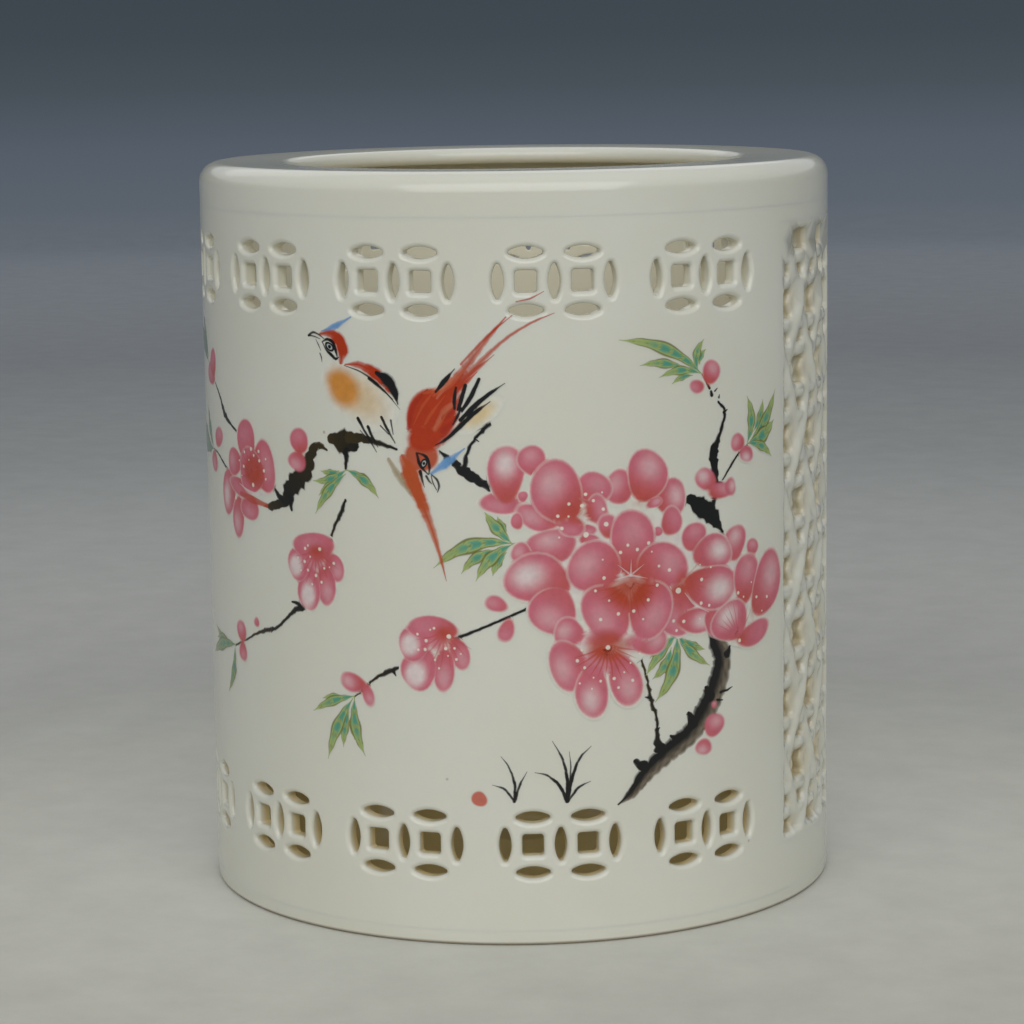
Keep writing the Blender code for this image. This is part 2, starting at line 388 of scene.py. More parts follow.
def grid_lines():
    """The shared grid of the unrolled wall: pieces that meet use the same lines."""
    reach = PAIRS * PAIR_PITCH / 2
    edge = TURN / 4 - PANEL_HALF_WIDTH
    coins = [PAIR_PITCH / 10 * i for i in range(-25, 26)]
    front = [-edge, -(edge + reach) / 2] + coins + [(edge + reach) / 2, edge]
    half = front + even(edge, edge + 2 * PANEL_HALF_WIDTH, 11)[:-1]
    u_lines = half + [u + TURN / 2 for u in half] + [TURN - edge]
    low, high = COIN_ROWS
    z_lines = [WALL_FOOT, 5.5, low - TILE_REACH, PANEL_BOTTOM, 14.0, 16.2, low, 20.8, 23.4, 26.0]
    z_lines += [low + TILE_REACH] + even(low + TILE_REACH, high - TILE_REACH, 26)
    z_lines += [111.6, 114.2, 116.6, high, 121.4, 124.2, PANEL_TOP, high + TILE_REACH, WALL_HEAD]
    return np.array(u_lines), np.array(z_lines)


def throats(loops, rounding):
    """The outermost rings of holes, where the glaze begins to round."""
    grow = hole_levels(*rounding)[0][0]
    return [np.column_stack([h[:, 0] + h[:, 2] * grow, h[:, 1] + h[:, 3] * grow]) for h in loops]


def coin_tiles():
    """The middles of the tiles, one round each pair of coins."""
    turns = [panel + (pair - (PAIRS - 1) / 2) * PAIR_PITCH
             for panel in (0.0, TURN / 2) for pair in range(PAIRS)]
    return [(u, z) for u in turns for z in COIN_ROWS]


def tile_points(middle, centre, throat):
    """A tile's points: those on its edge, then those inside it and clear of its holes."""
    z_lines = grid_lines()[1]
    levels = z_lines[np.abs(z_lines - centre) <= TILE_REACH + 1e-6]
    edge, field = [], []
    for u in middle + np.arange(-5, 6) * PAIR_PITCH / 10:
        for z in levels:
            on_edge = z in (levels[0], levels[-1])
            on_edge |= abs(abs(u - middle) - PAIR_PITCH / 2) < 1e-6
            (edge if on_edge else field).append((u, z))
    return edge + [tuple(p) for p in clear_of(throat, np.array(field), TILE_GAP)]


def cut_away(u, z):
    """Whether a place on the wall belongs to a lattice panel or to a tile."""
    in_window = any(
        side - PANEL_HALF_WIDTH + 0.01 < u % TURN < side + PANEL_HALF_WIDTH - 0.01
        for side in (TURN / 4, 3 * TURN / 4)
    )
    return in_window and PANEL_BOTTOM < z < PANEL_TOP or any(
        abs((u - middle + TURN / 2) % TURN - TURN / 2) < PAIR_PITCH / 2
        and abs(z - centre) < TILE_REACH for middle, centre in coin_tiles()
    )


def build_wall(material):
    """The wall: a plain grid, with a denser tile of triangles round each pair of coins."""
    u_lines, z_lines = grid_lines()
    rounding = (GLAZE_ROUND, GLAZE_SINK, BORE_ROUND)
    index, plain = {}, []

    def vertex(u, z):
        """The number of a point that pieces of the wall share."""
        key = (round(u % TURN, 3) if abs(u % TURN - TURN) > 1e-3 else 0.0, round(z, 3))
        if key not in index:
            index[key] = len(plain)
            plain.append((u, z))
        return index[key]

    skins = []
    for u0, u1 in zip(u_lines, u_lines[1:]):
        for z0, z1 in zip(z_lines, z_lines[1:]):
            if not cut_away((u0 + u1) / 2, (z0 + z1) / 2):
                skins.append([vertex(u0, z0), vertex(u1, z0), vertex(u1, z1), vertex(u0, z1)])
    tiles = []
    for middle, centre in coin_tiles():
        loops = [loop + np.array([middle, centre, 0, 0]) for loop in coin_pair()]
        throat = throats(loops, rounding)
        spots = tile_points(middle, centre, throat)
        tiles.append(([vertex(*p) for p in spots], triangulate(spots, throat), loops))
    all_loops, tris = [], []
    ring_first = len(plain)
    for spots, corners, loops in tiles:
        size = sum(len(loop) for loop in loops)
        numbers = spots + list(range(ring_first, ring_first + size))
        tris += [[numbers[i] for i in tri] for tri in corners]
        all_loops += loops
        ring_first += size
    points, faces, normals = pierced_shell(plain, tris + skins, all_loops, rounding)
    make_piece("pierced_wall", points, faces, material, normals, "wall_cylinder")


# ---------------------------------------------------------------- the lattice panels

def dome(distance, half_width):
    """The melted cross-section of a strand."""
    share = np.clip(1 - (distance / half_width) ** 2, 0, 1)
    return share * share * (1.6 - 0.6 * share)


def lattice_relief(x, z):
    """Height of the lattice's interlaced strips, from the middle of the panel."""
    level = (z - FIRST_ROW) / ROW
    rising = level - x / COLUMN
    falling = level + x / COLUMN
    slant = 1 / math.hypot(1 / ROW, 1 / COLUMN)
    to_rising = np.abs(rising % 2 - 1) * slant
    to_falling = np.abs(falling % 2 - 1) * slant
    weave = np.cos(math.pi * level)
    to_bar = np.abs(np.abs((level + 0.5) % 1 - 0.5) * ROW - BAR_OFFSET)
    bar_weave = np.cos(2 * math.pi * x / COLUMN)
    strips = [
        (1.0 + WEAVE * weave) * dome(to_rising, STRAND),
        (1.0 - WEAVE * weave) * dome(to_falling, STRAND),
        (BAR_HEIGHT + BAR_WEAVE * bar_weave) * dome(to_bar, BAR),
    ]
    height = np.log(sum(np.exp(MELT * s) for s in strips)) / MELT - math.log(3) / MELT - RELIEF_SINK
    height = height + UNEVEN * np.sin(1.3 * x + 0.7 * z) * np.sin(1.1 * z - 0.6 * x)
    beyond = np.maximum(np.abs(x) - FIELD_HALF_WIDTH, np.maximum(FIELD_BOTTOM - z, z - FIELD_TOP))
    return height * (1 - ease((beyond + 0.7) / 1.6))


def clip(outline, axis, limit, side):
    """The part of a convex outline on one side of a line across an axis."""
    kept = []
    for here, after in zip(outline, outline[1:] + outline[:1]):
        a = side * (limit - here[axis])
        b = side * (limit - after[axis])
        if a >= 0:
            kept.append(here)
        if a * b < 0:
            share = a / (a - b)
            kept.append(tuple(h + share * (n - h) for h, n in zip(here, after)))
    return kept


def bends(corners):
    """(bend, shorter side) at each corner; the bend is negative where it pokes inward."""
    found = []
    for i, corner in enumerate(corners):
        a = Vector(corner) - Vector(corners[i - 1])
        b = Vector(corners[(i + 1) % len(corners)]) - Vector(corner)
        found.append((a.x * b.y - a.y * b.x, min(a.length, b.length)))
    return found


def tidied(corners):
    """Corners without those on a straight run or poking inward too close to another."""
    return [corner for corner, (bend, shorter) in zip(corners, bends(corners))
            if bend > 1e-3 or (bend < -1e-3 and shorter > POKE_SHORTEST)]


def lattice_voids():
    """Rounded outlines of the lattice's voids, from the middle of the panel."""
    waisted = [(1.35, 0.0), (2.75, 2.4), (-2.75, 2.4), (-1.35, 0.0), (-2.75, -2.4), (2.75, -2.4)]
    small = [(1.4, 5.4), (0.6, 7.1), (-0.6, 7.1), (-1.4, 5.4)]
    voids = []
    for row in range(10):
        z = FIRST_ROW + row * ROW
        for column in range(-2, 3):
            if (row + column) % 2 == 0:
                x = column * COLUMN
                voids.append([(x + a, z + b) for a, b in waisted])
                voids.append([(x + a, z + b) for a, b in small])
                voids.append([(x - a, z - b) for a, b in small])
    outlines = []
    for corners in voids:
        for axis, limit, side in (
            (0, FIELD_HALF_WIDTH, 1), (0, -FIELD_HALF_WIDTH, -1),
            (1, FIELD_TOP, 1), (1, FIELD_BOTTOM, -1),
        ):
            corners = clip(corners, axis, limit, side)
        corners = [c for i, c in enumerate(corners) if math.dist(c, corners[i - 1]) > 0.05]
        corners = tidied(tidied(corners))
        if len(corners) < 3:
            continue
        spans = [max(c[i] for c in corners) - min(c[i] for c in corners) for i in (0, 1)]
        if min(spans) < SMALLEST_VOID:
            continue
        radii = [POKE_RADIUS if bend < 0 else min(VOID_RADIUS, 0.36 * shorter)
                 for bend, shorter in bends(corners)]
        outlines.append(np.array(rounded(corners, radii)))
    return outlines


def build_lattice(name, side, material, replaced):
    """A lattice panel: its shared edge points, and a fine field of points between its voids."""
    _, z_lines = grid_lines()
    loops = lattice_voids()
    first = throats(loops, PANEL_ROUNDING)
    edge_u = [-PANEL_HALF_WIDTH] + even(-PANEL_HALF_WIDTH, PANEL_HALF_WIDTH, 11)
    edge_z = z_lines[(z_lines >= PANEL_BOTTOM - 1e-6) & (z_lines <= PANEL_TOP + 1e-6)]
    rim = [(u, z) for u in edge_u for z in (edge_z[0], edge_z[-1])]
    rim += [(u, z) for z in edge_z[1:-1] for u in (edge_u[0], edge_u[-1])]
    field = []
    for j in range(int((PANEL_TOP - PANEL_BOTTOM) / FIELD_PITCH)):
        z = PANEL_BOTTOM + 0.6 + j * FIELD_PITCH * 0.866
        for i in range(-26, 27):
            x = i * FIELD_PITCH + (j % 2) * FIELD_PITCH / 2
            if abs(x) < PANEL_HALF_WIDTH - 0.4 and z <= PANEL_TOP - 0.5:
                field.append((x, z))
    spots = np.array(rim + [tuple(p) for p in clear_of(first, np.array(field), FIELD_GAP)])
    points, faces, normals = pierced_shell(
        spots + np.array([side, 0.0]), triangulate(spots, first),
        [loop + np.array([side, 0, 0, 0]) for loop in loops], PANEL_ROUNDING,
        relief=lambda u, z: lattice_relief(u - side, z),
    )
    make_piece(name, points, faces, material, normals, replaced)


# ---------------------------------------------------------------- turned pieces

def turned(name, profile, material, replaced, sharp_after=()):
    """A ring turned from a closed (radius, height) profile that runs down its outer side."""
    angles = grid_lines()[0][:-1] / ARC_RADIUS
    size, turns = len(profile), len(angles)
    points = [(r * math.sin(a) * MM, -r * math.cos(a) * MM, z * MM)
              for a in angles for r, z in profile]
    faces = []
    for i in range(turns):
        a, b = i * size, (i + 1) % turns * size
        for j in range(size):
            k = (j + 1) % size
            faces.append([a + j, a + k, b + k, b + j])
    piece = make_piece(name, points, faces, material, None, replaced)
    sharp = piece.data.attributes.new("sharp_edge", "BOOLEAN", "EDGE")
    for edge in piece.data.edges:
        a, b = edge.vertices
        sharp.data[edge.index].value = a % size == b % size and a % size in sharp_after


def run(centre, radius, start, end, steps):
    """Profile points on an arc, in degrees."""
    angles = [math.radians(start + (end - start) * i / steps) for i in range(steps + 1)]
    return [(centre[0] + radius * math.cos(a), centre[1] + radius * math.sin(a)) for a in angles]


def build_rim(material):
    """The in-turned lip: softly rounded shoulder, nearly flat top and a full round nose."""
    shoulder = 3.6
    lip = 3.3
    nose = 1.55
    profile = [(SKIN - shoulder - 0.5 * i, HEIGHT - 0.01 * i) for i in (2, 1)]
    profile += run((SKIN - shoulder, HEIGHT - shoulder), shoulder, 90, 0, 10)
    profile += [(SKIN, WALL_HEAD + 2.0), (SKIN, WALL_HEAD), (BORE, WALL_HEAD)]
    seam = [len(profile) - 2, len(profile) - 1]
    profile += [(BORE, HEIGHT - lip - 2.0)]
    profile += run((BORE - 1.6, HEIGHT - lip - 1.6), 1.6, 0, 90, 5)
    profile += run((MOUTH + nose, HEIGHT - 0.15 - nose), nose, 270, 90, 12)
    turned("rim_lip", profile, material, "rim_collar", seam)


def build_foot(material):
    """The low ring under the wall, with eased edges."""
    outer, inner = 0.7, 0.8
    profile = [(SKIN, WALL_FOOT), (SKIN, 0.75)]
    profile += run((SKIN - outer, outer), outer, 0, -90, 4)[1:]
    profile += run((FOOT_BORE + inner, inner), inner, -90, -180, 4)
    profile += [(FOOT_BORE, WALL_FOOT)]
    turned("foot_rim", profile, material, "foot_ring", [0, len(profile) - 1])


def build_floor(material):
    """The slab inside, dished a little, with glaze pooled where it meets the wall."""
    edge = BORE - 0.1
    cove = 4.2
    profile = [(edge, 11.0), (edge, 3.0), (edge - 0.2, 2.8)]
    profile += [(r, 2.8) for r in (48.0, 36.0, 24.0, 12.0, 0.6)]
    profile += [(0.6, 6.4), (12.0, 6.45), (24.0, 6.5), (36.0, 6.6), (46.0, 6.7), (51.5, 6.85)]
    profile += run((edge - cove, 11.0), cove, -90, -4, 8)
    turned("floor_slab", profile, material, "floor_disc", [0, 1, 2])


# ---------------------------------------------------------------- painted shapes

# Painted places are (x, z) in millimetres: x runs along the wall to the right of a painting's own
# middle line, and z runs up from the table.
PAINT_LIFT = 0.02
LAYER = 0.006
TOP_LAYER = 19
BURIED = 0.05

GLAZE = linear(214, 213, 200)
DAYLIGHT = 0.71
SHEEN = 0.022


def enamel(r, g, b):
    """The enamel's own colour, from the display colour that it has under the studio light."""
    return np.clip((np.array(linear(r, g, b)) - SHEEN) / DAYLIGHT, 0.003, 0.92)


PINK = enamel(173, 98, 110)
RIM_PINK = enamel(170, 92, 102)
PALE_PINK = enamel(190, 177, 174)
PETAL_EDGE = enamel(188, 172, 164)
DEEP_ROSE = enamel(162, 78, 74)
HEART_RED = enamel(154, 66, 48)
DOT_WHITE = enamel(196, 186, 172)
INK = enamel(36, 31, 28)
BARK = enamel(116, 106, 92)
OLIVE_BARK = enamel(62, 56, 44)
TEAL = enamel(80, 134, 116)
LEAF_GREEN = enamel(138, 152, 98)
OCHRE = enamel(92, 88, 48)
GREY_LEAF = enamel(96, 110, 98)
FEATHER_RED = enamel(152, 60, 38)
FEATHER_PALE = enamel(168, 102, 78)
BREAST = enamel(178, 122, 64)
CREST_BLUE = enamel(94, 130, 168)
OLIVE = enamel(128, 108, 74)
IRIS = enamel(150, 152, 150)


def mixed(a, b, share):
    """Colours between a and b."""
    share = np.asarray(share)[..., None]
    return a * (1 - share) + b * share


def ripple(t, seed):
    """A fixed wavering between -1 and 1."""
    return (
        0.5 * np.sin(2.3 * t + 1.7 * seed) + 0.3 * np.sin(5.1 * t + 2.9 * seed + 1)
        + 0.2 * np.sin(11.7 * t + 4.3 * seed + 2)
    )


class Petal:
    """An egg-shaped patch that deepens toward its root and its rim, inside a thin pale outline."""

    SECTORS = 28
    RINGS = (0.25, 0.48, 0.66, 0.78, 0.86, 0.92, 0.96, 1.0)

    def __init__(self, x, z, half_x, half_z, root=None, tilt=0.0, pale=0.5, deep=0.8, rim=0.6,
                 soft=0.32, cover=1.0, colours=None, bulge=0.0, wobble=0.03, outline=0.0,
                 egg=0.0):
        self.centre = np.array([x, z])
        self.half = np.array([half_x, half_z])
        angle = math.radians(tilt)
        c, s = math.cos(angle), math.sin(angle)
        self.turn = np.array([[c, -s], [s, c]])
        away = self.turn.T @ (self.centre - np.array(root if root else (x, z - 1)))
        self.away = away / max(np.linalg.norm(away), 1e-6)
        self.pale, self.deep, self.rim = pale, deep, rim
        self.soft, self.cover, self.bulge, self.wobble = soft, cover, bulge, wobble
        self.outline, self.egg = outline, egg
        self.facing = math.atan2(self.away[1] / half_z, self.away[0] / half_x)
        self.colours = colours or (PINK, PALE_PINK, RIM_PINK, DEEP_ROSE)
        self.seed = x * 0.7 + z * 0.3
        turns = 2 * math.pi * np.arange(self.SECTORS) / self.SECTORS
        spots = [self.centre]
        for ring in self.RINGS:
            reach = ring * self.waver(turns)
            local = np.column_stack([reach * np.cos(turns), reach * np.sin(turns)]) * self.half
            spots += list(local @ self.turn.T + self.centre)
        self.spots = np.array(spots)
        count = self.SECTORS
        self.faces = [[0, 1 + i, 1 + (i + 1) % count] for i in range(count)]
        self.faces += bands(count, len(self.RINGS), 1)
        last = 1 + (len(self.RINGS) - 1) * count
        self.edge = [last + i for i in range(count)]
        self.back = [self.edge]

    def waver(self, turns):
        """How far the outline stands from a plain oval, by angle."""
        swell = self.egg * (np.cos(turns - self.facing) - np.cos(3 * (turns - self.facing)))
        uneven = np.sin(2 * turns + self.seed) + 0.6 * np.sin(3 * turns - self.seed)
        return 1 + self.wobble * uneven + swell

    def local(self, spots):
        """Places in the petal's own frame, and their share of the way to its outline."""
        flat = (spots - self.centre) @ self.turn / self.half
        turns = np.arctan2(flat[:, 1], flat[:, 0])
        return flat, np.linalg.norm(flat, axis=1) / self.waver(turns)

    def look(self, spots):
        """The colour of the paint at places, and how fully it covers them."""
        flat, reach = self.local(spots)
        body, pale, rim, heart = self.colours
        along = flat @ self.away
        bright = np.linalg.norm(flat - 0.35 * self.away, axis=1)
        colour = mixed(np.tile(body, (len(spots), 1)), pale,
                       np.minimum(self.pale**1.5 * ease(1.06 - bright / 0.78), 1))
        band = min(0.5 * self.outline / self.half.min(), 0.16) if self.outline else 0.0
        colour = mixed(colour, rim, 0.7 * self.rim * ease((reach - 0.45) / (0.5 - band)))
        colour = mixed(colour, heart, np.minimum(1.3 * self.deep, 1) * ease((0.3 - along) / 1.15))
        if band:
            edge = ease((reach - 1 + 2.1 * band) / (1.6 * band)) * ease((along + 1.0) / 0.6)
            colour = mixed(colour, PETAL_EDGE, 0.8 * edge)
        cover = self.cover * ease((1 - reach) * self.half.min() / self.soft)
        return colour, cover

    def lift(self):
        """How far the paint stands out."""
        _, reach = self.local(self.spots)
        return self.bulge * np.sqrt(np.clip(1 - reach**2, 0, 1))


def smooth_run(places, widths, spacing):
    """A curve through places, closely spaced, with its half-width at every step."""
    ghosts = [2 * places[0] - places[1]] + places + [2 * places[-1] - places[-2]]
    path, breadth = [], []
    for i in range(len(places) - 1):
        p0, p1, p2, p3 = ghosts[i:i + 4]
        steps = max(2, int(math.ceil(np.linalg.norm(p2 - p1) / spacing)))
        for k in range(steps + (i == len(places) - 2)):
            t = k / steps
            path.append(0.5 * (
                2 * p1 + (p2 - p0) * t + (2 * p0 - 5 * p1 + 4 * p2 - p3) * t**2
                + (3 * p1 - p0 - 3 * p2 + p3) * t**3
            ))
            breadth.append(widths[i] * (1 - ease(t)) + widths[i + 1] * ease(t))
    return np.array(path), np.array(breadth)


def round_ends(path, breadth):
    """A path, its half-widths and its directions, with a rounded head and tail added."""
    ahead = np.gradient(path, axis=0)
    ahead /= np.linalg.norm(ahead, axis=1, keepdims=True)
    head, tail = [], []
    for k in (1.0, 0.8, 0.45):
        narrowed = math.sqrt(1.001 - k * k)
        head.append((path[0] - ahead[0] * breadth[0] * k, breadth[0] * narrowed))
        tail.insert(0, (path[-1] + ahead[-1] * breadth[-1] * k, breadth[-1] * narrowed))
    breadth = np.concatenate([[w for _, w in head], breadth, [w for _, w in tail]])
    path = np.concatenate([[p for p, _ in head], path, [p for p, _ in tail]])
    return path, breadth, np.concatenate([[ahead[0]] * 3, ahead, [ahead[-1]] * 3])


class Stroke:
    """A brush line through places, with a half-width at each place."""

    def __init__(self, places, widths, colour, last=None, soft=0.18, cover=1.0, rough=0.0,
                 across=None, spacing=0.7, columns=(-1, -0.8, -0.45, 0, 0.45, 0.8, 1)):
        places = [np.array(p, float) for p in places]
        widths = np.interp(np.linspace(0, 1, len(places)), np.linspace(0, 1, len(widths)), widths)
        path, breadth, ahead = round_ends(*smooth_run(places, widths, spacing))
        side = np.column_stack([-ahead[:, 1], ahead[:, 0]])
        gaps = np.linalg.norm(np.diff(path, axis=0), axis=1)
        self.run = np.concatenate([[0], np.cumsum(gaps)])
        seed = places[0][0] + 0.37 * places[0][1]
        self.left = breadth * (1 + rough * ripple(self.run * 1.3, seed))
        self.right = breadth * (1 + rough * ripple(self.run * 1.3, seed + 5))
        self.path, self.side, self.colour = path, side, np.array(colour)
        self.last = self.colour if last is None else np.array(last)
        self.soft, self.cover, self.across = soft, cover, across
        columns = np.array(columns)
        rows, wide = len(path), len(columns)
        reach = np.where(columns[None] > 0, self.left[:, None], self.right[:, None]) * columns[None]
        self.spots = (path[:, None] + side[:, None] * reach[..., None]).reshape(-1, 2)
        corners = [i * wide + j for i in range(rows - 1) for j in range(wide - 1)]
        self.faces = [[a, a + wide, a + wide + 1, a + 1] for a in corners]
        right = [i * wide for i in range(rows)]
        left = [i * wide + wide - 1 for i in range(rows)]
        start = list(range(wide - 1, 0, -1))
        finish = list(range((rows - 1) * wide, rows * wide - 1))
        self.edge = start + right[:-1] + finish + left[:0:-1]
        self.back = [[right[i], right[i + 1], left[i + 1], left[i]] for i in range(1, rows - 2)]
        self.back.append(start + [0, right[1], left[1]])
        self.back.append([right[-2]] + finish + [left[-1], left[-2]])

    def nearest(self, spots):
        """How far places lie along the line and to its left, and its half-width there."""
        start, end = self.path[:-1], self.path[1:]
        span = end - start
        share = ((spots[:, None] - start) * span).sum(-1) / np.maximum((span**2).sum(-1), 1e-9)
        share = np.clip(share, 0, 1)
        offset = spots[:, None] - (start + span * share[..., None])
        gap = np.linalg.norm(offset, axis=-1)
        best = gap.argmin(1)
        row = np.arange(len(spots))
        share, offset, gap = share[row, best], offset[row, best], gap[row, best]
        sign = np.sign((offset * self.side[best]).sum(-1) + 1e-9)
        along = self.run[best] + share * (self.run[best + 1] - self.run[best])
        breadths = []
        for edge in (self.left, self.right):
            breadths.append(edge[best] * (1 - share) + edge[best + 1] * share)
        breadth = np.where(sign > 0, breadths[0], breadths[1])
        return along, sign * gap, breadth

    def look(self, spots):
        """The colour of the paint at places, and how fully it covers them."""
        along, gap, breadth = self.nearest(spots)
        share = along / self.run[-1]
        if self.across is None:
            colour = mixed(self.colour, self.last, share)
        else:
            colour = self.across(share, gap / np.maximum(breadth, 1e-6), along)
        soft = np.minimum(self.soft, 0.6 * breadth + 0.02)
        cover = self.cover * ease((breadth - np.abs(gap)) / soft)
        return colour, cover

    def lift(self):
        """How far the paint stands out: brush lines lie flat."""
        return np.zeros(len(self.spots))


def leaf_look(teal, green, outline):
    """Teal patches between ochre veins, on yellow-green, inside an ochre outline."""
    def across(share, side, along):
        width = np.abs(side)
        vein = np.abs((along - 1.6 * width) / 2.6 % 1 - 0.5)
        patch = ease((0.62 - width) / 0.3) * ease((0.44 - vein) / 0.16)
        colour = mixed(np.tile(green, (len(share), 1)), teal,
                       patch * ease(share / 0.12) * ease((0.8 - share) / 0.3))
        colour = mixed(colour, outline, 0.55 * ease((vein - 0.44) / 0.05) * (width < 0.9))
        colour = mixed(colour, outline, 0.8 * ease((0.1 - width) / 0.08))
        return mixed(colour, outline, ease((width - 0.66) / 0.14))
    return across


def leaf(root, tip, half_width, bend, grey=0.0):
    """A slender pointed leaf; bend pushes its middle to the left of its run."""
    root, tip = np.array(root, float), np.array(tip, float)
    run = tip - root
    side = np.array([-run[1], run[0]]) / np.linalg.norm(run)
    places = [root + run * t + side * bend * 4 * t * (1 - t) for t in (0, 0.25, 0.5, 0.75, 1)]
    tones = [mixed(np.array([c]), GREY_LEAF, [grey])[0] for c in (TEAL, LEAF_GREEN, OCHRE)]
    return Stroke(
        places, [0.12, 0.62 * half_width, half_width, 0.62 * half_width, 0.08], OCHRE, soft=0.22,
        across=leaf_look(*tones), spacing=0.4,
        columns=(-1, -0.9, -0.76, -0.6, -0.42, -0.2, -0.08, 0.08, 0.2, 0.42, 0.6, 0.76, 0.9, 1),
    )


TRUNK_COLUMNS = (-1, -0.9, -0.75, -0.55, -0.35, -0.1, 0.15, 0.4, 0.7, 0.9, 1)


def dry_brush(share, side, along):
    """Ink on the left of a trunk, thinning to streaky grey-brown on the right."""
    streak = 0.5 + 0.5 * np.sin(9 * side + 1.3 * np.sin(0.9 * along)) * np.cos(2.1 * along)
    shade = ease((0.15 - side) / 0.7) * (0.35 + 0.65 * streak)
    return mixed(np.tile(INK, (len(share), 1)), BARK, shade)


class Painting:
    """Shapes in the order they are laid on, sorted into pieces."""

    def __init__(self, middle):
        self.middle = middle
        self.shapes = []

    def add(self, piece, *shapes):
        """Lay shapes on, each in a layer above the shapes that it overlaps."""
        for shape in shapes:
            shape.piece = piece
            shape.low, shape.high = shape.spots.min(0), shape.spots.max(0)
            shape.below = [e for e in self.shapes
                           if np.all(e.low <= shape.high) and np.all(shape.low <= e.high)]
            level = 0
            for earlier in shape.below:
                if earlier.layer >= level and (self.covers(earlier, shape)
                                               or self.covers(shape, earlier)):
                    level = earlier.layer + 1
            shape.layer = min(level, TOP_LAYER)
            self.shapes.append(shape)

    @staticmethod
    def covers(one, other):
        """Whether one shape's paint reaches a point of the other."""
        return np.any(one.look(other.spots)[1] > 0)

    def colour(self, shape):
        """The tints of a shape's points, laid over the shapes that it covers."""
        ground = np.tile(np.array(GLAZE), (len(shape.spots), 1))
        for earlier in shape.below + [shape]:
            tone, cover = earlier.look(shape.spots)
            ground = ground * (1 - cover[:, None]) + tone * cover[:, None]
        return ground

    def build(self, name, material):
        """One thin closed piece of the shapes that go by a name."""
        points, faces, normals, tints = [], [], [], []
        first = 0
        for shape in (each for each in self.shapes if each.piece == name):
            count = len(shape.spots)
            u, z = shape.spots[:, 0] + self.middle, shape.spots[:, 1]
            height = PAINT_LIFT + LAYER * shape.layer + shape.lift()
            edge = shape.edge
            buried = np.full(len(edge), -BURIED)
            points += [on_pot(u, z, height), on_pot(u[edge], z[edge], buried)]
            normals += [outward(u), outward(u[edge])]
            tone = self.colour(shape)
            tints += [tone, tone[edge]]
            under = {v: first + count + i for i, v in enumerate(edge)}
            faces += [[first + i for i in f] for f in shape.faces]
            for a, b in zip(edge, edge[1:] + edge[:1]):
                faces.append([first + a, under[a], under[b], first + b])
            faces += [[under[i] for i in reversed(f)] for f in shape.back]
            first += count + len(edge)
        points, normals, tints = map(np.concatenate, (points, normals, tints))
        piece = make_piece(name, points, faces, material, normals)
        paint = piece.data.color_attributes.new("tint", "FLOAT_COLOR", "POINT")
        paint.data.foreach_set("color", np.column_stack([tints, np.ones(len(tints))]).ravel())


# ---------------------------------------------------------------- the painting

EGG = 0.045


def wash(x, z, half_x, half_z, colours, soft, rim=0, **more):
    """An even patch of colour with soft edges."""
    if not isinstance(colours, tuple):
        colours = (colours,) * 4
    return Petal(x, z, half_x, half_z, pale=0, deep=0, rim=rim, soft=soft, colours=colours, **more)


def petals(p, piece, rows, root=None, swell=(1, 1), egg=EGG, **look):
    """Petals from rows of x, z, half_x, half_z, root, tilt, pale and deep.

    Rows leave out the root when all of them share one, and may stop early."""
    shared = () if root is None else (root,)
    for x, z, half_x, half_z, *rest in rows:
        p.add(piece, Petal(x, z, swell[0] * half_x, swell[1] * half_z, *shared, *rest, egg=egg,
                           **look))


def dots(p, piece, places, size):
    """Raised specks of pale enamel."""
    for i, (x, z) in enumerate(places):
        r = size * (1 + 0.25 * math.sin(3.1 * i + x))
        p.add(piece, Petal(x, z, r, r, pale=0, deep=0, rim=0.2, soft=0.2, bulge=0.02,
                           colours=(DOT_WHITE, DOT_WHITE, PALE_PINK, PALE_PINK)))


def rays(p, piece, heart, ends, colour=DEEP_ROSE, width=0.2, cover=0.4):
    """Fine brush lines that fan out of a flower's heart."""
    for end in map(np.array, ends):
        start = 0.84 * np.array(heart) + 0.16 * end
        middle = (start + end) / 2 + np.array([0.15, -0.1])
        p.add(piece, Stroke([start, middle, end], [width * 1.6, width, 0.05], colour, soft=0.15,
                            cover=cover))


def fan(heart, reach, start, end, count):
    """Places on an arc about a heart, from one angle to another in degrees."""
    found = []
    for i in range(count):
        a = math.radians(start + (end - start) * i / max(count - 1, 1))
        r = reach * (1 + 0.12 * math.sin(5.3 * i + heart[0]))
        found.append((heart[0] + r * math.cos(a), heart[1] + r * math.sin(a)))
    return found


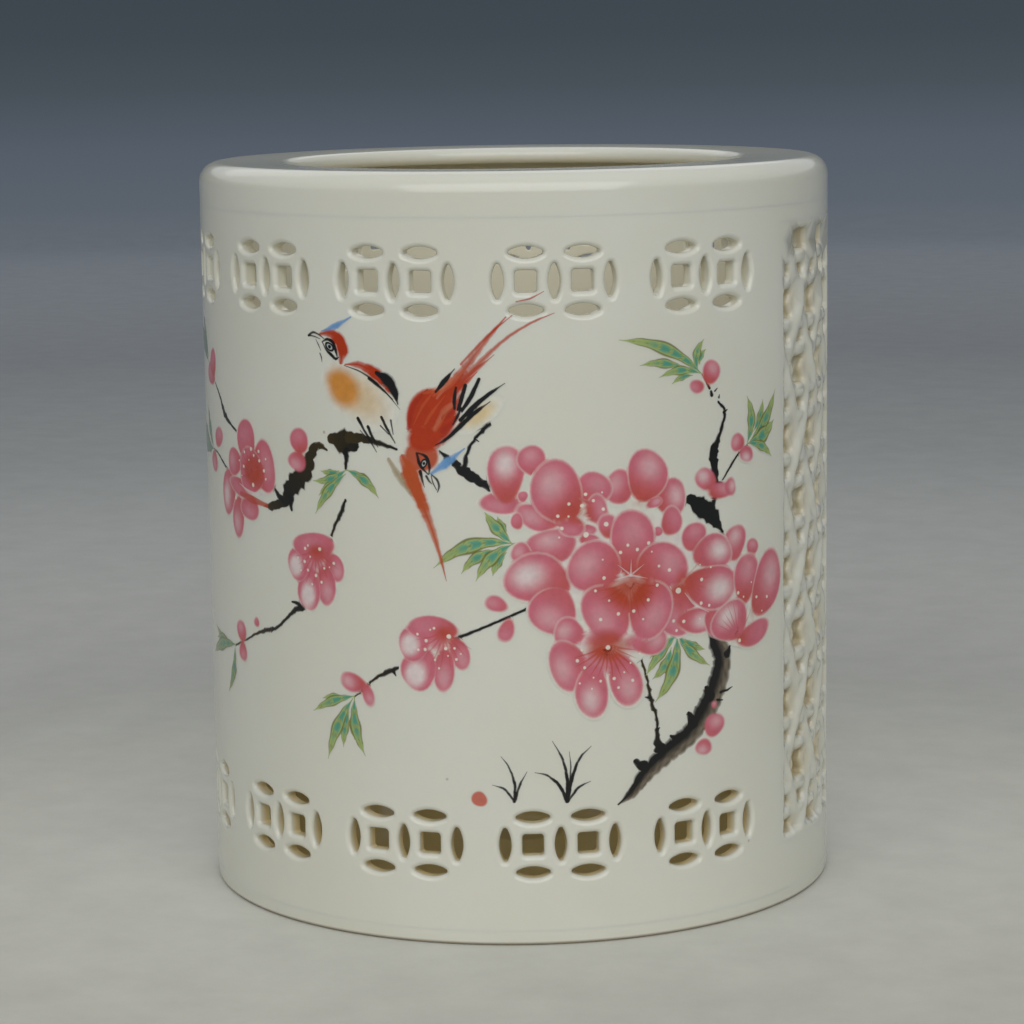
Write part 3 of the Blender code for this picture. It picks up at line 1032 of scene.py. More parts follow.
def paint_branches(p):
    """The trunk and its knots, then every branch and twig."""
    trunk = [
        (17.6, 25.2), (20.3, 27.2), (23.2, 30.6), (27.5, 33.8), (31.8, 36.4), (35.4, 40.2),
        (38, 44.6), (39.4, 49.2), (38.2, 52.6), (36.6, 55.2),
    ]
    girth = [0.3, 1.2, 1.8, 2.1, 2.2, 2.6, 2.5, 2.3, 2.2, 1]
    p.add("branches", Stroke(trunk, girth, INK, rough=0.11, soft=0.4, across=dry_brush, spacing=0.5,
                             columns=TRUNK_COLUMNS))
    knots = [
        ([(22.5, 31.6), (21, 32.6)], [1.2, 0.7]), ([(32.5, 38.6), (31.8, 40.2)], [1.3, 0.6]),
        ([(36.5, 43), (35.6, 44.4)], [1.2, 0.6]), ([(25.8, 34.9), (25.2, 36.6)], [0.9, 0.5]),
        ([(39, 43.3), (40.6, 43.5), (41.8, 43.9)], [0.35, 0.32, 0.12]),
        ([(38.2, 42), (39.4, 41.8)], [0.35, 0.18]), ([(29, 36), (28, 36.6)], [1, 0.4]),
        ([(40.6, 50.2), (41.2, 51.4)], [0.9, 0.3]),
    ]
    for places, widths in knots:
        p.add("branches", Stroke(places, widths, INK, rough=0.25))
    lines = [
        ([(25, 34.5), (25.1, 40), (24, 43.4), (23.2, 47.6), (22, 51.6)],
         [0.55, 0.32, 0.45, 0.3, 0.28], INK, OLIVE_BARK, 0.5),
        ([(25.2, 38.2), (25.6, 38.4)], [0.4, 0.15]), ([(23.8, 44), (22.9, 44.3)], [0.35, 0.15]),
        ([(32.3, 79.2), (34.6, 77.6), (37, 75.8), (39.5, 72.7)], [0.9, 1.7, 1.5, 0.35], INK, None,
         0.2),
        ([(37.4, 77.6), (38, 82), (37.5, 87), (38.9, 90.2), (40.2, 94.2), (38.7, 96.1)],
         [0.55, 0.6, 0.95, 0.42, 0.35, 0.3], INK, None, 0.35),
        ([(40, 94.2), (40.7, 94.6)], [0.35, 0.15]), ([(37.1, 97.6), (37, 98.1)], [0.42, 0.3]),
        ([(37.9, 98.2), (38.4, 98.6)], [0.22, 0.12]), ([(38.8, 97), (38.9, 97.4)], [0.25, 0.12]),
        ([(36.6, 98.8), (35.6, 100.4), (34.9, 101.4)], [0.3, 0.22, 0.15], INK, HEART_RED, 0.2),
        ([(38.4, 80.6), (41.8, 84.6), (43.6, 86.4), (46.2, 88)], [0.18, 0.3, 0.25, 0.15],
         OLIVE_BARK, INK, 0.2),
        ([(-14.2, 89.8), (-11.2, 87.4), (-9, 85.6), (-4.9, 83)], [0.2, 0.65, 0.95, 0.6], INK, None,
         0.25),
        ([(-9.4, 86.6), (-8.6, 89.6), (-7.2, 91.8), (-5, 94.2)], [0.5, 0.34, 0.34, 0.48], INK, None,
         0.35),
        ([(-7.3, 91.6), (-6.7, 91.2)], [0.25, 0.12]),
        ([(-34.9, 90.8), (-32.5, 90.4), (-30.6, 90)], [0.9, 2.1, 1.3], OLIVE_BARK, INK, 0.15),
        ([(-31, 91.2), (-28.5, 91.2), (-25.5, 90.6), (-21.8, 89.6)], [1, 0.75, 0.5, 0.3],
         OLIVE_BARK, INK, 0.25),
        ([(-31.8, 88.8), (-31.9, 87), (-32, 85.6)], [0.6, 0.45, 0.3], INK, None, 0.25),
        ([(-32.3, 79.8), (-33.2, 77.6), (-34.9, 74.6), (-36.6, 69.6)], [0.34, 0.46, 0.34, 0.2], INK,
         OLIVE_BARK, 0.3),
        ([(-36.1, 88.7), (-37.4, 89.3), (-38.6, 89.2), (-39.9, 87.4), (-41, 84.6), (-43.4, 82.6),
         (-45.6, 80.4), (-46.4, 78.6)], [0.25, 0.55, 0.8, 1, 1.5, 1.8, 1.5, 0.9], OLIVE_BARK, INK,
         0.3),
        ([(-45.3, 79.2), (-45, 77.2)], [0.9, 0.35]),
        ([(-46.2, 78.6), (-48.6, 77.8), (-50.6, 77.2), (-52.4, 77)], [0.9, 0.8, 0.75, 0.3], INK,
         OLIVE_BARK, 0.2),
        ([(-46.8, 78.4), (-48.4, 79.4), (-49.6, 80.6)], [0.5, 0.55, 0.3]),
        ([(-73.2, 98), (-70, 95.4), (-67.6, 92.4), (-64.2, 90.6), (-61.6, 89.6)],
         [0.2, 0.35, 0.6, 0.3, 0.3], INK, None, 0.25),
        ([(-75.2, 85), (-72.2, 84.5), (-69.2, 83.2), (-66.6, 82)], [0.2, 0.25, 0.3, 0.28],
         OLIVE_BARK, INK, 0.2),
        ([(-42.6, 59.6), (-44.6, 58.8), (-47, 57), (-50, 54.8), (-53.2, 53.9), (-57, 52.6),
         (-60, 51.2), (-65.2, 49.2)], [0.7, 0.5, 0.35, 0.35, 0.45, 0.3, 0.25, 0.25], INK,
         OLIVE_BARK, 0.25),
        ([(-45.4, 60.2), (-43.8, 60), (-42.2, 59.4)], [0.25, 0.45, 0.3]),
        ([(-51.2, 54.4), (-51.6, 53.8)], [0.45, 0.15]),
        ([(-11.4, 56), (-5.6, 58.4), (1.8, 61.6)], [0.36, 0.3, 0.3], INK, None, 0.15),
        ([(-21.4, 50.6), (-23.8, 49.6), (-27, 47.9), (-29.4, 45.6), (-31.2, 44.3)],
         [0.22, 0.5, 0.3, 0.25, 0.18], INK, OLIVE_BARK, 0.3),
        ([(-23, 49.4), (-22.7, 48.8)], [0.35, 0.12]),
    ]
    for places, widths, *look in lines:
        colour, last, rough = look or (INK, None, 0.2)
        p.add("branches", Stroke(places, [1.2 * w for w in widths], colour, last=last, rough=rough,
                                 spacing=0.55))


def paint_leaves(p):
    """Leaves in two strokes each: a short lobe, then the blade."""
    blades = [
        ((-31.9, 85.4), (-39.4, 82.9), 1.15, 0.7), ((-31.9, 85.4), (-25.4, 80.7), 1.25, 0.8),
        ((-32.1, 84.6), (-39, 77), 1.25, -0.6), ((-0.8, 73.1), (-15.2, 68.6), 1.7, -1.9),
        ((-1.2, 73.2), (-5.9, 78.8), 1.45, 0.3), ((-1, 73), (-7.6, 66.4), 1.5, -0.9),
        ((-31.2, 44.4), (-40.6, 40.7), 1.2, -0.5), ((-31.6, 43.9), (-37.4, 32.2), 1.5, -0.7),
        ((-31.2, 44.2), (-29.2, 33.6), 1.45, -0.9), ((-65.2, 49.3), (-78, 51), 1.3, 1, 0.35),
        ((-65.2, 49.3), (-81, 45), 1.6, -0.9, 0.35), ((-65.6, 49), (-69.6, 39.6), 1.3, 1, 0.35),
        ((29.3, 55.2), (23, 48.2), 1.35, -0.4), ((29.4, 55.2), (36.4, 48.6), 1.3, -0.7),
        ((29.3, 55), (24.8, 43.2), 1.75, 1.5), ((35, 101.4), (18.4, 108.4), 1.5, -1.6),
        ((34, 102.2), (35.4, 107.6), 1.15, 0.9), ((34.6, 101.6), (26, 101.4), 1.1, -0.9),
        ((45.8, 88), (45.8, 96.6), 1.4, -1.2), ((46.2, 88), (54, 97), 1.5, -1.1),
        ((46, 88), (53.6, 91.6), 1.9, -0.8), ((46, 88), (52.8, 84.9), 1.2, 0.8),
        ((-78, 101), (-92, 106.5), 2.2, -1, 0.7), ((-78, 102), (-83, 110.5), 1.7, 0.6, 0.7),
        ((-75.5, 85), (-92, 87.5), 2.3, 0.9, 0.7), ((-75.8, 85.2), (-80, 93), 1.5, 0.6, 0.7),
    ]
    for i, (root, tip, width, bend, *grey) in enumerate(blades):
        run = np.array(tip) - np.array(root)
        side = np.array([-run[1], run[0]]) * (0.13 if i % 2 else -0.13)
        start = np.array(root) + 0.2 * run + side * 0.2
        p.add("leaves", leaf(start, start + 0.5 * run + side, 0.7 * width, 0.5 * bend, *grey),
              leaf(root, tip, 0.9 * width, bend, *grey))


def paint_cluster(p):
    """The big spray: single petals first, then each flower from its outer petals to its heart."""
    crown, upper, open_flower = (10.5, 77.6), (22.5, 78.4), (20, 65.2)
    left, low, right, cup = (9, 66), (15.7, 54.2), (31.2, 65.2), (43.5, 52.6)
    rows = [
        (-3, 80.4, 3.6, 2.1, (-1, 83), 0, 0.3, 0.3), (-2, 85.4, 3.2, 4.8, (-1.4, 79), 0, 1, 0.75),
        (2.6, 87.7, 2.5, 2.7, (3.6, 84), 0, 0.4, 0.3), (0.9, 81.4, 1, 1.1, (0.9, 80), 0, 0.2, 0.2),
        (28.2, 79.9, 3, 3.3, upper, 20, 0.7, 0.7), (18.2, 82.4, 2.6, 3.1, upper, 0, 0.5, 0.5),
        (23.5, 84.1, 3.8, 4.4, (21.6, 79), 0, 0.6, 0.8), (24.8, 79.2, 1.8, 1, upper, 20, 0.5, 0.4),
        (13.5, 82.4, 3.1, 2.9, crown, 0, 0.3, 0.6), (3.6, 77.6, 3.9, 2.3, crown, -22, 0.5, 0.5),
        (14, 78.6, 2, 2.9, crown, 10, 0.3, 0.8), (7, 82, 4.4, 5.3, crown, 12, 0.6, 0.75),
        (-0.2, 77, 1.2, 1.6, (1, 75), 0, 0.2, 0.4), (12, 75.1, 2.1, 1.2, crown, 0, 0.3, 0.4),
        (28.3, 75.6, 2.2, 2.6, (26, 74), 0, 0.2, 0.6), (33, 72.4, 2.7, 2.5, right, 25, 0.3, 0.4),
        (25.6, 74, 1, 1, (25, 73), 0, 0.2, 0.4), (6, 72.5, 4.2, 3, left, 0, 0.6, 0.3),
        (0.6, 71.3, 1.9, 2, left, 0, 0.5, 0.3), (16, 75.6, 1.8, 2.3, (16, 73), 0, 0.1, 0.95),
        (12.6, 73.2, 2, 1.3, (10, 74), -10, 0.2, 0.5), (9.6, 75.8, 2.4, 1.8, crown, 0, 0.2, 0.8),
        (20.6, 72.3, 4, 5.6, open_flower, 0, 0.35, 0.75), (47.2, 68.9, 1.7, 1.7, cup, 0, 0.4, 0.4),
        (42.6, 70.3, 2.6, 3.3, (42.8, 66), -14, 0.7, 0.4),
        (37.2, 69.2, 4.2, 3.2, (32, 68), 0, 1, 0.4), (3.4, 66.6, 5.6, 4.2, (9, 63.4), 0, 1, 0.6),
        (6, 61, 4.1, 4, left, 0, 0.5, 0.4), (13.6, 68.4, 4.8, 4.2, open_flower, 18, 0.5, 0.55),
        (26.4, 67.8, 4.8, 4, open_flower, -18, 0.4, 0.75), (8.8, 56.9, 2.7, 2.6, low, 0, 0.6, 0.2),
        (24, 54.3, 3.2, 2.5, low, 10, 0.5, 0.4), (29.5, 59.4, 3.6, 4.6, (30.4, 65), 0, 0.3, 0.9),
        (33.4, 57.2, 4, 2.4, (30, 58), 0, 0.9, 0.5), (37.6, 56.4, 2.4, 2.6, (36, 58), 30, 0.5, 0.4),
        (36.8, 63, 5.5, 3.9, right, -8, 1, 0.9), (15.8, 60.3, 4.2, 5.1, open_flower, 24, 0.4, 0.85),
        (23.9, 60.2, 4, 5.1, open_flower, -22, 0.4, 0.85), (45.4, 63.4, 3, 4.6, cup, -8, 0.4, 0.75),
        (51.2, 61.6, 3.9, 5.9, cup, -24, 0.6, 0.6), (47.4, 53, 4.6, 2.2, cup, 14, 0.1, 0.7),
        (41.4, 56, 4.2, 3.6, cup, 20, 1, 0.3), (8.6, 51, 3.1, 4.7, low, 14, 0.55, 0.35),
        (12.9, 46.2, 3, 4.6, low, 0, 0.8, 0.2), (18.9, 47.9, 2.9, 5, low, 16, 0.55, 0.3),
    ]
    for ground in ((17.5, 69.5, 17.5, 9.5), (40, 62.5, 9.5, 7), (15.5, 54.5, 8, 5.5)):
        p.add("blossoms", Petal(*ground, soft=3, pale=0.3, deep=0, rim=0, cover=0.6,
                                colours=(PALE_PINK, PETAL_EDGE, PALE_PINK, PALE_PINK)))
    petals(p, "blossoms", rows, swell=(1.14, 1.12), outline=0.6, soft=0.45)
    for heart_wash in ((14.6, 55.4, 4.4, 2.4), (20.6, 54.4, 2.8, 2.2), (14.2, 51.6, 3.6, 3.4)):
        p.add("blossoms", Petal(*heart_wash, low, soft=1.6, pale=0, deep=0.6, cover=0.9))
    glows = [
        ((20.2, 63.6), 5, 4.2, 0.85), ((9.6, 78.4), 4.4, 2.6, 0.45), (low, 4.6, 4, 0.75),
        ((30.6, 64.6), 2.6, 3, 0.7), (cup, 2.6, 1.7, 0.6), ((21.8, 79.4), 2.4, 1.6, 0.45),
        ((47.2, 57.2), 1.5, 3, 0.6), ((30, 60), 1.5, 3, 0.5),
    ]
    for heart, half_x, half_z, cover in glows:
        p.add("blossoms", wash(*heart, half_x, half_z, HEART_RED, 2.4, cover=cover, wobble=0.08))
    for heart, reach, start, end, count, colour, width, cover in [
        (open_flower, 5.8, 190, 350, 11, HEART_RED, 0.2, 0.5),
        (low, 6.2, 197, 348, 12, HEART_RED, 0.24, 0.6),
        ((9.8, 77.6), 3.6, 40, 150, 6, DEEP_ROSE, 0.2, 0.3),
        ((30.4, 64.8), 5.6, -60, 40, 6, DEEP_ROSE, 0.2, 0.35),
        ((43.2, 53), 6.4, 52, 150, 9, RIM_PINK, 0.2, 0.6),
    ]:
        rays(p, "blossoms", heart, fan(heart, reach, start, end, count), colour, width, cover)
    for x, z in ((17.8, 68.6), (22.8, 68.4), (20.3, 69.4), (17.2, 66), (23.4, 65.8)):
        star_ray = [(20.2, 66.6), (0.5 * (x + 20.2), 0.5 * (z + 66.6)), (x, z)]
        p.add("blossoms", Stroke(star_ray, [0.3, 0.16, 0.05], PALE_PINK, cover=0.6, soft=0.25))
    p.add("blossoms", Stroke([(31, 62.4), (33, 60.2), (36.2, 58.4)], [0.1, 0.3, 0.1], PALE_PINK,
                             cover=0.6, soft=0.25))
    dots(p, "stamens", [
        (7, 77.8), (8.9, 77.7), (7.7, 75.6), (7.2, 74), (9, 79.9), (11.3, 79.5), (13.4, 80.3),
        (15, 81.7), (15.2, 78.7), (12, 81.5), (19.7, 72), (18.3, 70.8), (21.5, 71.1), (23.7, 72.1),
        (24.3, 70.5), (15, 69.7), (15.2, 66.4), (25.7, 67.8), (27.8, 66.9), (25.3, 64.4),
        (13.6, 64.2), (16.1, 62.3), (20.7, 60.1), (17.8, 59.8), (14.5, 59), (22.5, 58.5),
        (28.6, 57.6), (30.7, 57.3), (29.2, 55.8), (34.2, 57.4), (34.5, 60.2), (36.3, 59.6),
        (34.6, 64.5), (34.3, 67.2), (36.7, 66.5), (43.3, 61), (44.7, 60.1), (46.8, 62.5),
        (48.2, 59.6), (51.3, 59.2), (49.8, 56.8), (11, 53.7), (10.2, 51.8), (11.5, 50.5),
        (13.1, 48.6), (14.4, 47.9), (12.8, 46.6), (10.6, 47.7), (16.9, 48.2), (17.7, 46.5),
        (18.8, 49.2), (20.4, 47.6), (20, 50.8), (21.8, 52.3),
    ], 0.34)
    dots(p, "stamens", [
        (15.7, 76), (12, 74.3), (23.5, 61.9), (29.6, 63), (43.6, 52.2), (15.8, 53.9),
    ], 0.52)


def paint_side_blossoms(p):
    """Three flowers that stand apart from the big spray."""
    swell = (1.05, 1.04)
    hanging = [
        ((-39, 70.2), [
            (-35, 67.6, 2.1, 3, 24, 0.45, 0.5), (-37, 64.2, 2.3, 3.9, 8, 0.5, 0.5),
            (-41, 63.2, 2.8, 4.3, -10, 1.5, 0.1), (-43.4, 67.6, 2.8, 3.4, -24, 1.5, 0.1),
            (-39.6, 70.9, 5.2, 2.7, 0, 0.2, 0.5),
        ], (-39.4, 68.6, 3.4, 2.8)),
        ((-13.4, 57), [
            (-10.8, 53.4, 1.9, 3.4, 16, 0.4, 0.5), (-13.6, 50.4, 2.1, 4.3, -2, 0.5, 0.4),
            (-18.2, 50.4, 3.3, 4.2, -22, 1.5, 0.1), (-19, 55, 3, 3.4, -30, 1.5, 0.1),
            (-15.4, 57.7, 4.9, 2.4, -6, 0.2, 0.6),
        ], (-14.8, 55.6, 3.2, 2.6)),
    ]
    for heart, rows, blush in hanging:
        petals(p, "side_blossoms", rows, heart, swell, outline=0.35, soft=0.5)
        p.add("side_blossoms", Petal(*blush, heart, soft=1.8, pale=0, deep=0.7, cover=0.9),
              wash(*heart, 2.6, 2, HEART_RED, 1.8, cover=0.7))
        rays(p, "side_blossoms", heart, fan(heart, 6, 195, 330, 9), cover=0.55)
    heart = (-56.6, 83)
    petals(p, "side_blossoms", [
        (-66.4, 78.2, 3.2, 4.8, -18, 0.9, 0.5), (-62.3, 74, 2.6, 4.2, -10, 0.6, 0.6),
        (-57.8, 76.2, 3.4, 2.6, 0, 0.3, 0.6), (-63.4, 84, 3, 2.8, 0, 0.4, 0.5),
        (-58.6, 88.4, 3.5, 4, 0, 0.2, 0.4), (-52.8, 84.2, 3.5, 5.2, 14, 0.3, 0.8),
        (-61.4, 79.6, 4.6, 1.9, -12, 0.1, 0.7), (-56.8, 83, 4.4, 4.3, 0, 0, 0.9),
    ], heart, swell, outline=0.5, soft=0.45)
    p.add("side_blossoms", wash(*heart, 4, 3.6, HEART_RED, 2, cover=0.85))
    p.add("side_blossoms", Stroke([(-61, 78.4), (-57, 77.8), (-52, 77.2)], [0.5, 0.8, 0.5],
                                  DEEP_ROSE, HEART_RED, cover=0.9))
    p.add("side_blossoms", Stroke([(-61.4, 80.2), (-57, 79), (-51, 79.2)], [0.1, 0.4, 0.15],
                                  PALE_PINK, cover=0.8))
    rays(p, "side_blossoms", heart, fan(heart, 4.6, 20, 200, 10), cover=0.5)
    dots(p, "stamens", [
        (-41.7, 70.4), (-41, 71), (-40.5, 69), (-43.6, 68.5), (-41.9, 68), (-42.9, 66.3),
        (-41.1, 66.5), (-39.2, 65.7), (-37.2, 67.2), (-36, 67.5), (-35, 68.3), (-37.9, 64.6),
        (-40.2, 64), (-16, 57.5), (-15.3, 57.8), (-18.4, 56.6), (-16.8, 55.5), (-18.3, 53.8),
        (-17, 53.9), (-15.2, 52.1), (-14.5, 50.6), (-13.2, 54.2), (-12.8, 52.9), (-11.6, 54.3),
        (-11.3, 52.3), (-10.5, 53.3), (-59.2, 86.3), (-61.3, 84.5), (-57.5, 85), (-55.8, 86),
        (-54, 85.2), (-52, 85.7), (-52.1, 82), (-60.3, 81.8), (-59.5, 83.6),
    ], 0.32)
    dots(p, "stamens", [
        (-38.2, 70.6), (-12.6, 56.4), (-56.7, 87.1), (-54.2, 86.9), (-52.6, 83.5), (-56.3, 80.5),
        (-63.2, 77.3),
    ], 0.5)


def paint_buds(p):
    """Buds and half-open flowers along the branches."""
    petals(p, "buds", [
        (-75.8, 99.2, 3.2, 2.6, (-73, 98), 0, 0.2, 0.5),
        (-74.2, 101.4, 2.4, 3, (-73, 98), -20, 0.1, 0.8),
        (-71.6, 87.6, 2.9, 2.2, (-73, 84), 20, 0.3, 0.4),
        (-75, 82.8, 2.6, 2.3, (-74, 85), 0, 0.3, 0.5),
        (-43.2, 86.2, 2.5, 2.2, (-42, 88), 0, 0.5, 0.6),
        (-42.6, 89.8, 2.6, 2.6, (-41.6, 87), 0, 0.2, 0.7),
        (-56.4, 54.9, 1.2, 1.2, (-55, 54), 0, 0.2, 0.4),
        (-62.4, 52.3, 2.2, 2.4, (-61.5, 50), 30, 0.4, 0.6),
        (-62, 48.6, 1.9, 2.2, (-62, 51), 0, 0.3, 0.6),
        (-31.4, 46.9, 3.3, 2, (-28.8, 46.8), -12, 0.6, 0.8),
        (-28.4, 45, 1.5, 2.7, (-29.4, 47), 22, 0.4, 0.6),
        (-4, 62.3, 2.5, 1.7, (-2, 61.6), -14, 0.3, 0.3),
        (-2.3, 57.6, 1.7, 2.6, (-1.6, 60), -24, 0.2, 0.4),
        (35.8, 82.4, 3, 2.2, (38, 80), -38, 0.8, 0.6),
        (39.2, 80.1, 3.6, 1.8, (37.4, 79), 0, 0.4, 0.9),
        (41.4, 80.6, 1.6, 2, (38, 80), 0, 0.7, 0.1), (43.4, 88.4, 2, 2, (45, 87.6), -30, 0.5, 0.5),
        (45.6, 86.2, 2.1, 1.8, (46, 88), -20, 0.8, 0.3),
        (37, 101.6, 2.3, 2.5, (35.8, 99.6), 10, 0.5, 0.9),
        (33.9, 99.3, 2, 1.5, (35.6, 99.8), -8, 0.3, 0.6),
        (37.4, 37.4, 2.7, 2.4, (36, 35), 10, 0.5, 0.3), (35, 33.8, 2.2, 1.8, (36, 36), 0, 0.6, 0.3),
        (37.4, 41.2, 0.9, 1, (37, 39), 0, 0.4, 0.2),
    ], soft=0.6, egg=0.04)


def brush(p, piece, lines, colour, soft=0.16, rough=0.1, cover=1):
    """Brush lines of one colour, each given by its places and half-widths."""
    for places, widths in lines:
        p.add(piece, Stroke(places, widths, colour, soft=soft, rough=rough, cover=cover,
                            spacing=0.45, columns=(-1, -0.6, 0, 0.6, 1)))


def eye(p, piece, x, z, size, tilt):
    """A dark ring with a pale iris and a dark pupil."""
    for half_x, half_z, colour in ((1.25, 0.85, INK), (0.8, 0.5, IRIS), (0.42, 0.4, INK)):
        p.add(piece, wash(x, z, half_x * size, half_z * size, colour, 0.12, tilt=tilt))


def paint_perched_bird(p):
    """A small red bird with a buff breast, facing left."""
    name = "perched_bird"
    warm = (BREAST, BREAST, enamel(182, 160, 124), BREAST)
    p.add(name, wash(-28.4, 98.4, 8, 5.2, enamel(180, 148, 98), 4.2, cover=0.6, tilt=-26),
          wash(-32.2, 100, 5.2, 4.4, warm, 2.6, 0.6, tilt=-50),
          wash(-34.4, 101.6, 2.6, 1.8, warm, 1.6, 0.5, cover=0.55))
    brush(p, name, [
        ([(-36.8, 109.4), (-34.9, 109.6), (-33, 108.6), (-32.1, 106.8), (-32.5, 104.7)],
         [0.4, 0.95, 1.45, 1.5, 0.6]),
        ([(-31.6, 104.2), (-28.6, 104.2), (-25.4, 102.7), (-23, 100.6), (-21.7, 98.4)],
         [0.2, 0.85, 1.35, 1.15, 0.3]),
    ], FEATHER_RED, soft=0.5)
    brush(p, name, [([(-36.6, 109.9), (-33.6, 110.9), (-30.3, 112.6)], [0.15, 0.7, 0.2])],
          CREST_BLUE, soft=0.35)
    brush(p, name, [
        ([(-25.2, 102.9), (-23.3, 101.8), (-22, 99.9), (-21.3, 97.6)], [0.5, 1.35, 1, 0.2]),
        ([(-31.8, 104), (-28.4, 103), (-25.6, 101.3), (-23, 99), (-20.9, 96.6)],
         [0.12, 0.22, 0.3, 0.22, 0.06]),
        ([(-26.8, 101.9), (-24.4, 100.2), (-22.2, 98.4)], [0.35, 0.3, 0.08]),
        ([(-39.6, 109), (-38.6, 109.6), (-37.2, 109.2), (-36, 108.5)], [0.3, 0.28, 0.22, 0.12]),
        ([(-39.6, 109), (-38.4, 108.9), (-37, 108.5)], [0.26, 0.18, 0.1]),
        ([(-38, 108.4), (-37.4, 107.4), (-36.9, 106.4)], [0.08, 0.18, 0.08]),
        ([(-37.1, 105.9), (-36.8, 105.2), (-36.7, 104.4)], [0.18, 0.2, 0.08]),
        ([(-36.5, 108), (-35.4, 108.5), (-34.2, 108), (-33.6, 106.6), (-33.2, 105.2)],
         [0.2, 0.36, 0.4, 0.36, 0.2]),
        ([(-36.4, 107.8), (-35.6, 106.6), (-34.6, 105.8), (-33.6, 105.1), (-33, 105.4)],
         [0.16, 0.3, 0.4, 0.34, 0.16]),
        ([(-29.2, 94.7), (-28, 92.7), (-26.9, 91), (-25.6, 88.9)], [0.4, 0.3, 0.34, 0.1]),
        ([(-27.2, 93.3), (-26.4, 91.6), (-25.3, 89.8)], [0.38, 0.34, 0.1]),
        ([(-28.8, 92.6), (-27.6, 91.4)], [0.12, 0.16]),
        ([(-24.5, 95.1), (-23.5, 93.2), (-22, 90.7)], [0.34, 0.34, 0.18]),
        ([(-24.7, 93.6), (-23.2, 92.2)], [0.2, 0.16]),
        ([(-22.7, 94.6), (-22.3, 92.2)], [0.26, 0.14]),
    ], INK)
    eye(p, name, -34.9, 107.2, 0.95, -35)


